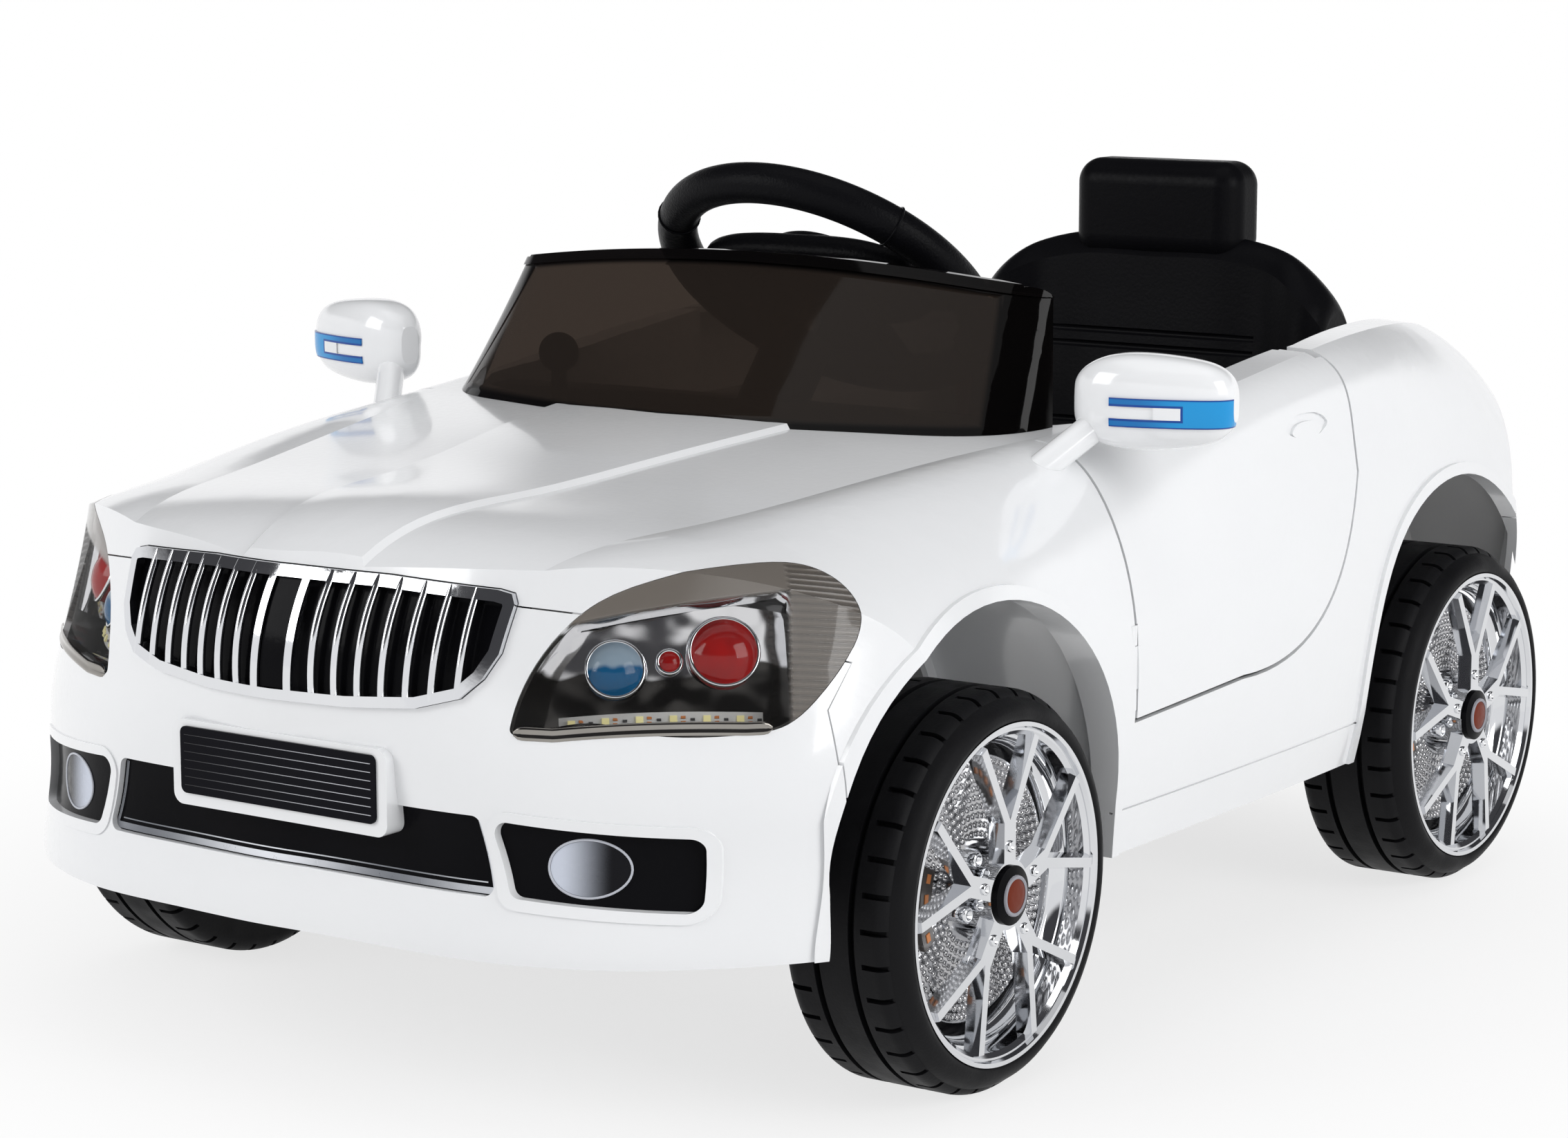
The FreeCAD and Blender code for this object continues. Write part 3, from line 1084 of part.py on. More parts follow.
def make_dashboard():
    """Dashboard with column shroud, lever slot and button bore."""
    pairs = [(-C.dash_front, C.dash_foot), (-C.dash_rear, C.dash_foot), (-C.dash_rear, C.dash_top),
             (-C.dash_rear - (C.dash_brow - C.dash_top), C.dash_brow), (-C.dash_brow_front, C.dash_brow),
             (-C.dash_brow_front - (C.dash_brow - C.dash_top), C.dash_top), (-C.dash_front, C.dash_top)]
    slab = side_face(pairs, -C.dash_half_width).extrude(LEFT * (2 * C.dash_half_width))
    nose = block(-C.dash_nose_half, C.dash_nose_half, -C.dash_nose, -C.dash_front, C.dash_foot, C.dash_top)
    slab = slab.common(skin(C.skin_wall + C.window_gap)).fuse(nose.common(skin(C.skin_wall + C.window_gap)))
    shroud = rod(C.shroud_radius, on_column(C.shroud_foot), on_column(C.shroud_top))
    slab = slab.fuse(shroud).removeSplitter()
    bush = C.column_radius + C.column_fit + C.bush_wall
    holes = [rod(bush, on_column(C.shroud_top), on_column(C.bush_foot)),
             rod(C.bulkhead_hole, on_column(C.bush_foot + C.bush_wall), on_column(C.column_reach)),
             rod(C.column_radius + C.bush_wall / 2, on_column(C.bush_foot), on_column(C.column_reach))]
    holes.append(block(-C.lever_x - C.lever_slot_half, -C.lever_x + C.lever_slot_half,
                       -C.lever_y - C.lever_slot_length / 2, -C.lever_y + C.lever_slot_length / 2,
                       C.dash_top - C.lever_slot_depth, FAR))
    pivot = V(-C.lever_x, -C.lever_y, C.lever_pivot)
    holes.append(rod(C.lever_pin_radius + C.pedal_fit, pivot - LEFT * C.lever_pin_half,
                     pivot + LEFT * C.lever_pin_half))
    face = V(C.power_x, -C.dash_rear, C.power_height)
    holes.append(rod(C.power_radius + C.power_fit, face - REAR * (C.power_length + C.power_proud), face))
    feature("dashboard", slab.cut(holes))
    tube = rod(bush, on_column(C.bush_foot), on_column(C.bush_top))
    feature("column_bush", tube.cut(rod(C.column_radius + C.column_fit, on_column(C.bush_foot),
                                        on_column(C.bush_top))))


def make_controls():
    """Gear lever, power button and accelerator pedal."""
    pivot = V(-C.lever_x, -C.lever_y, C.lever_pivot)
    pin = rod(C.lever_pin_radius, pivot - LEFT * C.lever_pin_half, pivot + LEFT * C.lever_pin_half)
    stick = rod(C.lever_stick_radius, pivot, pivot + UP * C.lever_stick)
    knob_height = C.lever_stick + C.lever_knob_radius * KNOB_SHARE
    knob = Part.makeSphere(C.lever_knob_radius, pivot + UP * knob_height)
    feature("gear_lever", join(stick, pin, Part.makeSphere(C.lever_stick_radius, pivot), knob))

    base = V(C.power_x, -C.dash_rear - C.power_length + C.power_proud, C.power_height)
    keep(cylinder("PowerButton", "Sizes.power_radius", "Sizes.power_length", base, REAR), "power_button")

    pivot = V(-C.pedal_x, -C.pedal_y, C.pedal_pivot)
    lean = math.radians(C.pedal_lean)
    along = V(0, -math.cos(lean), math.sin(lean))
    face = along.cross(LEFT)
    corner = pivot - LEFT * (C.pedal_width / 2) - face * (C.pedal_wall / 2)
    sides = [corner, corner + LEFT * C.pedal_width, corner + LEFT * C.pedal_width + along * C.pedal_length,
             corner + along * C.pedal_length]
    plate = ring_face(sides).extrude(face * C.pedal_wall)
    half = LEFT * (C.pedal_width / 2)
    barrel = rod(C.pedal_barrel_radius, pivot - half, pivot + half)
    reach = LEFT * (C.pedal_width / 2 + C.pedal_play + C.pedal_bracket)
    ribs = []
    for share in PEDAL_RIB_SHARES:
        start = pivot + along * (C.pedal_length * share) - face * (C.pedal_wall / 2)
        ribs.append(rod(C.pedal_wall / 4, start - half, start + half))
        ribs.append(rod(C.pedal_wall / 4, start + face * C.pedal_wall - half,
                        start + face * C.pedal_wall + half))
    feature("accelerator_pedal", join(plate, barrel, rod(C.pedal_pin_radius, pivot - reach, pivot + reach),
                                      *ribs))


# Steering gear

def make_steering_wheel():
    """Rim, hub and three spokes, with two push buttons in the hub."""
    axis = steer_axis()
    down = steer_down()
    rim = Part.makeTorus(C.steer_rim_radius, C.steer_grip_radius, STEER_CENTRE, axis)
    hub_foot = STEER_CENTRE - axis * C.steer_hub_height
    hub = rod(C.steer_hub_radius, hub_foot, STEER_CENTRE + axis * C.steer_dish)
    hub = hub.makeFillet(C.steer_hub_round, [hub.Edges[0]])
    spokes = []
    for way in (LEFT, LEFT * -1, down):
        across = axis.cross(way) * (C.steer_spoke_width / 2)
        low = STEER_CENTRE - axis * (C.steer_spoke_wall / 2)
        far = way * C.steer_rim_radius
        face = ring_face([low - across, low + across, low + across + far, low - across + far])
        spokes.append(face.extrude(axis * C.steer_spoke_wall))
    wheel = rim.fuse([hub] + spokes).removeSplitter()
    column = rod(C.column_radius, on_column(C.steer_hub_height), on_column(-C.column_head + C.steer_dish))
    bores = [column]
    for side in (-1, 1):
        seat = STEER_CENTRE + LEFT * (side * C.button_offset) + axis * C.steer_dish
        floor = seat - axis * C.button_height
        bores.append(rod(C.button_radius + C.button_fit, floor - axis * C.button_proud, seat))
        label = "horn_button_left" if side > 0 else "horn_button_right"
        button = cylinder("Button%d" % (side + 1), "Sizes.button_radius",
                          "Sizes.button_height + Sizes.button_proud", floor, axis)
        keep(button, label)
    feature("steering_wheel", wheel.cut(bores))


def make_column():
    """Column shaft with its crank and crank pin."""
    axis = steer_axis()
    down = steer_down()
    head = on_column(-C.column_head + C.steer_dish)
    foot = on_column(C.column_reach)
    elbow = on_column(C.column_reach - C.crank_ball_radius)
    knee = elbow + down * C.crank_length
    shaft = rod(C.column_radius, foot, head)
    arm = rod(C.crank_radius, elbow, knee)
    ball = Part.makeSphere(C.crank_ball_radius, knee)
    pin = rod(C.crank_pin_radius, knee, knee - axis * C.crank_pin_length)
    feature("steering_column", join(shaft, arm, ball, pin))


TIE_Y = FRONT_AXLE_Y + C.arm_length


def make_tie_rod():
    """Tie rod with end eyes and the slotted block for the crank pin."""
    z_from, z_to = C.tie_height, C.tie_height + C.tie_wall
    bar = block(-C.kingpin_x, C.kingpin_x, TIE_Y - C.tie_width / 2, TIE_Y + C.tie_width / 2, z_from, z_to)
    eye = block(C.kingpin_x - C.tie_eye / 2, C.kingpin_x + C.tie_eye / 2, TIE_Y - C.tie_eye_length / 2,
                TIE_Y + C.tie_eye_length / 2, z_from, z_to)
    half = C.tie_block_width / 2
    middle = block(-half, half, TIE_Y - C.tie_block_front, TIE_Y + C.tie_block_back, z_from, z_to)
    slot_half = C.arm_pin_radius + C.tie_slot_play
    slot = block(C.kingpin_x - slot_half, C.kingpin_x + slot_half, TIE_Y - C.tie_slot_front,
                 TIE_Y + C.tie_slot_back, z_from, z_to)
    gate_half = C.crank_pin_radius + C.tie_block_play
    gate = block(-gate_half, gate_half, TIE_Y - C.tie_block_slot_front, TIE_Y + C.tie_block_slot_back,
                 z_from, z_to)
    rod_solid = bar.fuse(both(eye) + [middle]).removeSplitter()
    feature("tie_rod", rod_solid.cut(both(slot) + [gate]))


def make_front_axle():
    """Axle beam with end yokes, and its kingpins."""
    y = FRONT_AXLE_Y - C.beam_width / 2
    pieces = [box("AxleBar", "2 * Sizes.yoke_inner", "Sizes.beam_width", "Sizes.beam_height",
                  V(-C.yoke_inner, y, C.axle_height - C.beam_height / 2))]
    holes = []
    for side in (-1, 1):
        name = "Left" if side > 0 else "Right"
        web_x = C.yoke_inner if side > 0 else -C.yoke_inner - C.yoke_wall
        lug_x = C.yoke_inner if side > 0 else -C.yoke_outer
        pieces.append(box("YokeWeb" + name, "Sizes.yoke_wall", "Sizes.beam_width",
                          "Sizes.yoke_high - Sizes.yoke_low", V(web_x, y, C.yoke_low)))
        for level, z in (("Low", C.yoke_low), ("High", C.yoke_high - C.yoke_wall)):
            pieces.append(box("Yoke" + level + name, "Sizes.yoke_outer - Sizes.yoke_inner",
                              "Sizes.beam_width", "Sizes.yoke_wall", V(lug_x, y, z)))
        holes.append(cylinder("YokeBore" + name, "Sizes.kingpin_radius + Sizes.kingpin_fit",
                              "Sizes.yoke_high - Sizes.yoke_low",
                              V(side * C.kingpin_x, FRONT_AXLE_Y, C.yoke_low)))
    keep(cut("FrontAxleBeam", fuse("AxleFrame", *pieces), *holes), "front_axle_beam")
    centre = V(C.kingpin_x, FRONT_AXLE_Y, C.yoke_low - C.kingpin_tail)
    top = V(C.kingpin_x, FRONT_AXLE_Y, C.yoke_high)
    pin = join(rod(C.kingpin_radius, centre, top),
               rod(C.kingpin_head_radius, top, top + UP * C.kingpin_head))
    feature("kingpins", Part.makeCompound(both(pin)))


def make_knuckles():
    """Steering knuckles with stub axles, arms and tie rod pins."""
    axis = V(C.kingpin_x, FRONT_AXLE_Y, 0)
    low = C.yoke_low + C.yoke_wall + C.knuckle_play
    high = C.yoke_high - C.yoke_wall - C.knuckle_play
    barrel = rod(C.knuckle_radius, axis + UP * low, axis + UP * high)
    centre = V(0, FRONT_AXLE_Y, C.axle_height)
    stub = rod(C.stub_radius, centre + LEFT * C.kingpin_x, centre + LEFT * C.nut_outer)
    collar = rod(C.stub_collar_radius, centre + LEFT * C.stub_collar_inner,
                 centre + LEFT * (C.tyre_inner - C.window_gap))
    nut = rod(C.nut_radius, centre + LEFT * C.nut_inner, centre + LEFT * C.nut_outer)
    half = C.arm_width / 2
    arm = block(C.kingpin_x - half, C.kingpin_x + half, FRONT_AXLE_Y, TIE_Y + half, C.arm_height,
                C.arm_height + C.arm_wall)
    pin = rod(C.arm_pin_radius, V(C.kingpin_x, TIE_Y, C.tie_height), V(C.kingpin_x, TIE_Y, C.arm_height))
    knuckle = join(barrel, stub, collar, nut, arm, pin)
    knuckle = knuckle.cut(rod(C.kingpin_radius + C.kingpin_fit, axis, axis + UP * FAR))
    feature("knuckle_left", knuckle)
    feature("knuckle_right", mirrored(knuckle))


# Rear axle and drive

def make_drive():
    """Rear axle with its gearboxes and motors."""
    y, z = REAR_AXLE_Y, C.axle_height
    axle = cylinder("AxleRod", "Sizes.rear_axle_radius", "2 * Sizes.nut_outer", V(-C.nut_outer, y, z), LEFT)
    nuts = []
    for side in (-1, 1):
        x = C.nut_inner if side > 0 else -C.nut_outer
        nuts.append(cylinder("AxleNut%d" % (side + 1), "Sizes.nut_radius",
                             "Sizes.nut_outer - Sizes.nut_inner", V(x, y, z), LEFT))
    keep(fuse("RearAxle", axle, *nuts), "rear_axle")

    outer = C.tray_rear_half - C.tray_wall
    case = rod(C.gearbox_radius, V(C.gearbox_inner, y, z), V(outer, y, z))
    front = block(C.gearbox_inner, outer, y - C.gearbox_front, y, z - C.gearbox_half_height,
                  z + C.gearbox_half_height)
    boss = rod(C.boss_radius, V(outer, y, z), V(C.boss_end, y, z))
    bore = rod(C.rear_axle_radius + C.axle_fit, V(0, y, z), V(FAR, y, z))
    gearbox = join(case, front, boss).cut(bore)
    motor_y = y - C.gearbox_front + C.motor_radius
    start = V(C.gearbox_inner - C.motor_length, motor_y, z)
    can = rod(C.motor_radius, start, V(C.gearbox_inner, motor_y, z))
    tail = rod(C.motor_nose_radius, start - LEFT * C.motor_nose, start)
    motor = join(can, tail)
    feature("gearboxes", Part.makeCompound(both(gearbox)))
    feature("motors", Part.makeCompound(both(motor)))


def padded_box(name, label, width, depth, height, y):
    """Rounded box on the tray floor, made as a padded sketch."""
    body = DOC.addObject("PartDesign::Body", name)
    sketch = body.newObject("Sketcher::SketchObject", name + "Plan")
    plane = [f for f in body.Origin.OriginFeatures if f.Role == "XY_Plane"][0]
    sketch.AttachmentSupport = [(plane, "")]
    sketch.MapMode = "FlatFace"
    half_w, half_d = getattr(C, width) / 2, getattr(C, depth) / 2
    corners = [V(-half_w, -half_d, 0), V(half_w, -half_d, 0), V(half_w, half_d, 0), V(-half_w, half_d, 0)]
    for i in range(4):
        sketch.addGeometry(Part.LineSegment(corners[i], corners[(i + 1) % 4]))
    pad = body.newObject("PartDesign::Pad", name + "Pad")
    pad.Profile = sketch
    pad.setExpression("Length", "Sizes." + height)
    body.Placement = FreeCAD.Placement(V(0, y, C.tray_floor + C.tray_wall), FreeCAD.Rotation())
    DOC.recompute()
    return keep(body, label)


def make_electrics():
    """Battery, control box and charging socket under and in front of the seat."""
    padded_box("Battery", "battery", "battery_width", "battery_depth", "battery_height", C.battery_y)
    padded_box("ControlBox", "control_box", "control_width", "control_depth", "control_height", C.control_y)
    face = V(C.socket_x, C.seat_front, C.socket_height)
    flange = rod(C.socket_flange, face - REAR * C.socket_flange_wall, face)
    barrel = rod(C.socket_radius, face, face + REAR * C.socket_depth)
    well = rod(C.socket_bore, face - REAR * C.socket_flange_wall, face + REAR * C.socket_bore_depth)
    contact = rod(C.socket_bore / 3, face, face + REAR * C.socket_bore_depth)
    feature("charging_socket", join(flange, barrel).cut(well).fuse(contact))


# Seat

def seat_wire(x, rise, drop):
    """Closed side profile of the seat at one width."""
    run = C.seat_back_low - C.seat_front
    dip = C.seat_top - C.seat_dip
    cushion = []
    for y_share, z_share in CUSHION_SHARES:
        lift = rise if y_share < 1 else rise / 2
        cushion.append(V(x, C.seat_front + run * y_share - (rise / 2 if y_share == 1 else 0),
                         C.seat_top - dip * z_share * (1 if z_share > 0 else 0)
                         - (C.seat_round if z_share < 0 else 0) + lift))
    top = C.seat_back_top - drop
    brow = V(x, C.seat_back_high - rise / 2, top - C.seat_round * 2)
    mid = (cushion[-1] + brow) * 0.5 + REAR * C.seat_round / 2
    crest = V(x, (C.seat_back_high + C.seat_rear) / 2 - rise / 4, top)
    heel = V(x, C.seat_rear, top - C.seat_round * 2)
    feet = [V(x, C.seat_rear, C.seat_foot), V(x, C.seat_front, C.seat_foot)]
    edges = [spline_edge(cushion), spline_edge([cushion[-1], mid, brow]), spline_edge([brow, crest, heel]),
             line_edge(heel, feet[0]), line_edge(feet[0], feet[1]), line_edge(feet[1], cushion[0])]
    return Part.Wire(edges)


def seat_form():
    """Outer form of the seat, lofted across the car through its bolsters."""
    rows = []
    for x_share, rise_share, drop_share in SEAT_SHARES:
        rows.append((C.seat_half_width * x_share, C.seat_bolster_rise * rise_share,
                     C.seat_shoulder_drop * drop_share))
    rows = [(-x, rise, drop) for x, rise, drop in reversed(rows[1:])] + rows
    return Part.makeLoft([seat_wire(*row) for row in rows], True, False)


def seat_grooves(form):
    """Pairs of channels across the cushion and the back, on the seat's middle profile."""
    cushion_shares, back_shares = SEAT_GROOVE_SHARES
    places = []
    for share in cushion_shares:
        y = C.seat_front + (C.seat_back_low - C.seat_front) * share
        places += [(V(0, y + shift, 0), UP) for shift in (0, C.seat_groove_gap)]
    for share in back_shares:
        z = C.seat_top + (C.seat_back_top - C.seat_top) * share
        places += [(V(0, C.seat_front, z + shift), REAR) for shift in (0, C.seat_groove_gap)]
    half = LEFT * C.seat_groove_half
    grooves = []
    for start, way in places:
        line = line_edge(start, start + way * FAR).common(form)
        spots = sorted((vertex.Point for vertex in line.Vertexes), key=lambda point: point.dot(way))
        spot = spots[-1] if way == UP else spots[0]
        grooves.append(rod(C.seat_groove_radius, spot - half, spot + half))
    return grooves


def make_seat():
    """Moulded seat on the tray, hollow over the battery, with a headrest roll."""
    form = seat_form()
    wall = C.seat_wall
    half = C.seat_half_width - wall
    hollow = block(-half, half, C.seat_front + wall, C.seat_rear - wall, 0, C.seat_dip - wall)
    tunnel = block(-FAR, FAR, C.seat_tunnel_front, C.seat_tunnel_rear, 0, C.seat_tunnel_top)
    face = V(C.socket_x, C.seat_front, C.socket_height)
    socket = rod(C.socket_radius, face - REAR * wall, face + REAR * (2 * wall))
    feature("seat", form.cut([hollow, tunnel, socket]).cut(seat_grooves(form)))
    half = C.headrest_half_width
    roll = block(-half, half, C.headrest_front, C.headrest_front + C.headrest_depth, C.headrest_foot,
                 C.headrest_foot + C.headrest_height)
    roll = roll.makeFillet(C.headrest_round, roll.Edges)
    feature("headrest", roll.cut(form))


# Wheels

WHEEL_MIDDLE = (C.tyre_outer + C.tyre_inner) / 2


def sketch_on(body, name, role, pairs, arcs=(), offset=0):
    """Closed sketch on one of a body's own planes; arcs maps a side's number to its bulge point."""
    sketch = body.newObject("Sketcher::SketchObject", name)
    plane = [item for item in body.Origin.OriginFeatures if item.Role == role][0]
    sketch.AttachmentSupport = [(plane, "")]
    sketch.MapMode = "FlatFace"
    sketch.AttachmentOffset = FreeCAD.Placement(UP * offset, FreeCAD.Rotation())
    points = [V(x, y, 0) for x, y in pairs]
    bulges = dict(arcs)
    for i, point in enumerate(points):
        after = points[(i + 1) % len(points)]
        if i in bulges:
            sketch.addGeometry(Part.Arc(point, V(*bulges[i], 0), after))
        else:
            sketch.addGeometry(Part.LineSegment(point, after))
    return sketch


def revolved(name, pairs, arcs=()):
    """Body turned about its own X axis from a closed profile of axial and radial pairs."""
    body = DOC.addObject("PartDesign::Body", name)
    sketch = sketch_on(body, name + "Profile", "XY_Plane", pairs, arcs)
    turn = body.newObject("PartDesign::Revolution", name + "Turn")
    turn.Profile = sketch
    turn.ReferenceAxis = (sketch, ["H_Axis"])
    DOC.recompute()
    return body


def around_axle(body, name, features, count):
    """Repeat features of a body about its own X axis."""
    pattern = body.newObject("PartDesign::PolarPattern", name)
    pattern.Originals = features
    axis = [item for item in body.Origin.OriginFeatures if item.Role == "X_Axis"][0]
    pattern.Axis = (axis, [""])
    pattern.Occurrences = int(count)
    body.Tip = pattern
    DOC.recompute()
    return body


def tyre_body():
    """Tyre with two ring grooves and rows of shoulder slots."""
    half = (C.tyre_outer - C.tyre_inner) / 2
    radius, bead, curve = C.wheel_radius, C.rim_radius, C.tread_round
    deep = radius - C.tread_groove_depth
    near = C.tread_rib_half - C.tread_groove_width / 2
    far = C.tread_rib_half + C.tread_groove_width / 2
    pairs = [(-half, bead), (half, bead), (half, radius - curve), (half - curve, radius), (far, radius),
             (far, deep), (near, deep), (near, radius), (-near, radius), (-near, deep), (-far, deep),
             (-far, radius), (curve - half, radius), (-half, radius - curve)]
    bulge = curve * (1 - DIAGONAL)
    body = revolved("Tyre", pairs, {2: (half - bulge, radius - bulge), 12: (bulge - half, radius - bulge)})
    slots = []
    width = C.tread_slot_width / 2
    for side, start in (("Outer", far + C.tread_groove_width), ("Inner", -half - curve)):
        corners = [(-width, deep), (width, deep), (width, radius + curve), (-width, radius + curve)]
        sketch = sketch_on(body, side + "SlotPlan", "YZ_Plane", corners, offset=start)
        pocket = body.newObject("PartDesign::Pocket", side + "Slot")
        pocket.Profile = sketch
        pocket.Reversed = True
        pocket.setExpression("Length", "(Sizes.tyre_outer - Sizes.tyre_inner) / 2 + Sizes.tread_round"
                             " - Sizes.tread_rib_half - 1.5 * Sizes.tread_groove_width")
        slots.append(pocket)
        DOC.recompute()
    return around_axle(body, "SlotRing", slots, C.tread_slots)


def rim_body():
    """Rim with barrel, dish, hub and five forked spokes."""
    half = (C.tyre_outer - C.tyre_inner) / 2
    face = C.rim_face - WHEEL_MIDDLE
    barrel, bead = C.rim_radius - C.rim_barrel_wall, C.rim_radius
    dish = C.rim_dish_face - WHEEL_MIDDLE
    floor = C.hub_floor - WHEEL_MIDDLE
    lip = half + C.window_gap
    bore = C.stub_radius + C.wheel_fit
    step = C.rim_step
    pairs = [(-half, barrel), (-half, bead), (lip, bead), (lip, bead + C.rim_lip), (face, bead + C.rim_lip),
             (face, bead), (face - step, bead - step / 2), (face - step, bead - step),
             (face - 2 * step, barrel),
             (dish, barrel), (dish, C.hub_radius),
             (face, C.hub_radius), (face, C.hub_well), (floor, C.hub_well), (floor, bore), (-half, bore),
             (-half, C.hub_radius), (dish - C.rim_dish_wall, C.hub_radius), (dish - C.rim_dish_wall, barrel)]
    body = revolved("Rim", pairs)
    sketch = sketch_on(body, "SpokePlan", "YZ_Plane", fork_pairs(), offset=face - C.spoke_wall)
    pad = body.newObject("PartDesign::Pad", "Spoke")
    pad.Profile = sketch
    pad.setExpression("Length", "Sizes.spoke_wall")
    pad.setExpression("TaperAngle", "-Sizes.spoke_draft")
    DOC.recompute()
    return around_axle(body, "SpokeRing", [pad], C.spoke_pairs)


def fork_pairs():
    """Outline of one spoke: a stem that forks into two arms."""
    reach = C.rim_radius - C.rim_barrel_wall / 2
    spread = math.radians(C.spoke_fork_half)
    stem = C.spoke_stem_width / 2
    root = V(0, C.spoke_fork, 0)
    tip = V(reach * math.sin(spread), reach * math.cos(spread), 0)
    way = (tip - root).normalize()
    out = V(way.y, -way.x, 0) * (C.spoke_width / 2)
    start = root + out
    knee = start + way * ((stem - start.x) / way.x)
    crotch = root - out
    crotch = crotch + way * (-crotch.x / way.x)
    low = (C.hub_radius + C.hub_well) / 2
    half = [(stem, low), (stem, knee.y), (tip.x + out.x, tip.y + out.y), (tip.x - out.x, tip.y - out.y)]
    return half + [(0, crotch.y)] + [(-x, y) for x, y in reversed(half)]


def cap_body():
    """Domed hub cap with a plug ring that fits the hub's well."""
    face = C.rim_face - WHEEL_MIDDLE
    plug = C.hub_well - C.cap_fit
    low = face - C.cap_plug
    pairs = [(face, 0), (face, plug - C.cap_plug), (low, plug - C.cap_plug), (low, plug), (face, plug),
             (face, C.cap_radius), (face + C.cap_rise / 2, C.cap_radius), (face + C.cap_rise, C.cap_dome),
             (face + C.cap_rise, 0)]
    return revolved("Cap", pairs)


def make_wheels():
    """Four wheels, each a tyre, a rim and a cap."""
    masters = {"tyre": tyre_body(), "rim": rim_body(), "cap": cap_body()}
    for end, y in (("front", FRONT_AXLE_Y), ("rear", REAR_AXLE_Y)):
        for side, sign in (("left", 1), ("right", -1)):
            turn = FreeCAD.Rotation(UP, 0 if sign > 0 else 180)
            spot = FreeCAD.Placement(V(sign * WHEEL_MIDDLE, y, C.axle_height), turn)
            for kind, master in masters.items():
                wheel = feature("_".join((kind, end, side)), master.Shape)
                wheel.Placement = spot


# The whole car

def make_all():
    """Every sub-part, outside first."""
    lamps = both(lamp_prism(0, C.lamp_inner_reach, C.lamp_outer_reach))
    make_body_shell(lamps)
    make_bumpers(lamps)
    make_doors()
    make_grille()
    make_front_panels()
    make_headlights()
    make_tail_lights()
    make_windscreen()
    make_mirrors()
    make_tray()
    make_screws()
    make_dashboard()
    make_controls()
    make_steering_wheel()
    make_column()
    make_tie_rod()
    make_front_axle()
    make_knuckles()
    make_drive()
    make_electrics()
    make_seat()
    make_wheels()


def check_and_export():
    """Stop on any broken object, then write one file per sub-part."""
    DOC.recompute()
    for obj in DOC.Objects:
        if "Invalid" in obj.State or "Error" in obj.State:
            raise RuntimeError("%s does not recompute" % obj.Label)
    os.makedirs("parts", exist_ok=True)
    for obj in PARTS:
        if obj.Shape.isNull() or not obj.Shape.isValid():
            raise RuntimeError("%s has no valid shape" % obj.Label)
        obj.Shape.exportStep(os.path.join("parts", obj.Label + ".step"))


if __name__ == "__main__":
    make_all()
    check_and_export()
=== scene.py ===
import bpy
import json
import math
from mathutils import Matrix, Vector
from mathutils.bvhtree import BVHTree


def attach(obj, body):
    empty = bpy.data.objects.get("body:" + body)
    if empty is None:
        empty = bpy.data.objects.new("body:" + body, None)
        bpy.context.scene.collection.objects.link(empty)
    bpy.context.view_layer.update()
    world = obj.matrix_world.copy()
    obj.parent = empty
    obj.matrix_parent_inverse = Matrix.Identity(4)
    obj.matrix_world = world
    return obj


# Electric ride-on car: looks, small details, light and camera, in metres in the model's frame.
# +Z is up, the nose points to -Y and +X is the car's left side.

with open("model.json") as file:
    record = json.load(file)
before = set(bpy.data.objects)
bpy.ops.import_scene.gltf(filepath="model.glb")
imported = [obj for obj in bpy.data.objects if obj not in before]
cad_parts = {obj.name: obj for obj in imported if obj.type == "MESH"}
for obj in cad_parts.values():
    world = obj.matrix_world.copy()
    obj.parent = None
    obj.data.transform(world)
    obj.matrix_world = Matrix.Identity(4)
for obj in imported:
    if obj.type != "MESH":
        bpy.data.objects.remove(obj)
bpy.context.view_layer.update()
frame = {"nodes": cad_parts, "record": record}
NODES = frame["nodes"]

X_AXIS, Y_AXIS, Z_AXIS = Vector((1, 0, 0)), Vector((0, 1, 0)), Vector((0, 0, 1))
SIDES = (("left", 1), ("right", -1))

# Sizes shared with the model

FRONT_AXLE_Y, REAR_AXLE_Y = -0.275, 0.335
AXLE_HEIGHT = 0.115
RIM_FACE, RIM_DISH, HUB_RADIUS, BARREL_RADIUS = 0.314, 0.268, 0.0203, 0.0899
CAP_RISE, SPOKES = 0.004, 5
STEER_CENTRE = Vector((0, 0.005804, 0.422))
STEER_TILT = math.radians(40)
STEER_AXIS = Vector((0, math.sin(STEER_TILT), math.cos(STEER_TILT)))
STEER_DOWN = Vector((0, math.cos(STEER_TILT), -math.sin(STEER_TILT)))
STEER_RIM_RADIUS, STEER_GRIP_RADIUS = 0.105, 0.013
LAMP_TURN, LAMP_LIFT = math.radians(40), math.radians(25)
LAMP_START, LAMP_FOOT, LAMP_LENGTH, LAMP_HEIGHT = -0.215, -0.005, 0.188, 0.095
LAMP_WINDOW_END, LAMP_WINDOW_SLOPE, LAMP_WINDOW_TOP = 0.80, 0.26, 0.60
PLATE_FACE, PLATE_HALF, PLATE_FOOT, PLATE_HEIGHT = -0.5315, 0.071, 0.172, 0.038
SCREEN_CENTRE, SCREEN_CROWN, SCREEN_TOP_HALF = 0.447, 0.014, 0.198
MIRROR_LIGHT_FOOT, MIRROR_LIGHT_TOP, MIRROR_LIGHT_BAR = 0.361, 0.378, 0.005
MIRROR_LIGHT_START, MIRROR_SLOT_END = 0.2818, 0.3285

# Blue, red and small red lamp: place along and up the headlight as shares, and radius

LAMPS = ((0.30, 0.42, 0.015), (0.61, 0.50, 0.018), (0.455, 0.46, 0.006))

# Sizes of the added pieces, and where the lines that lay them on a surface start

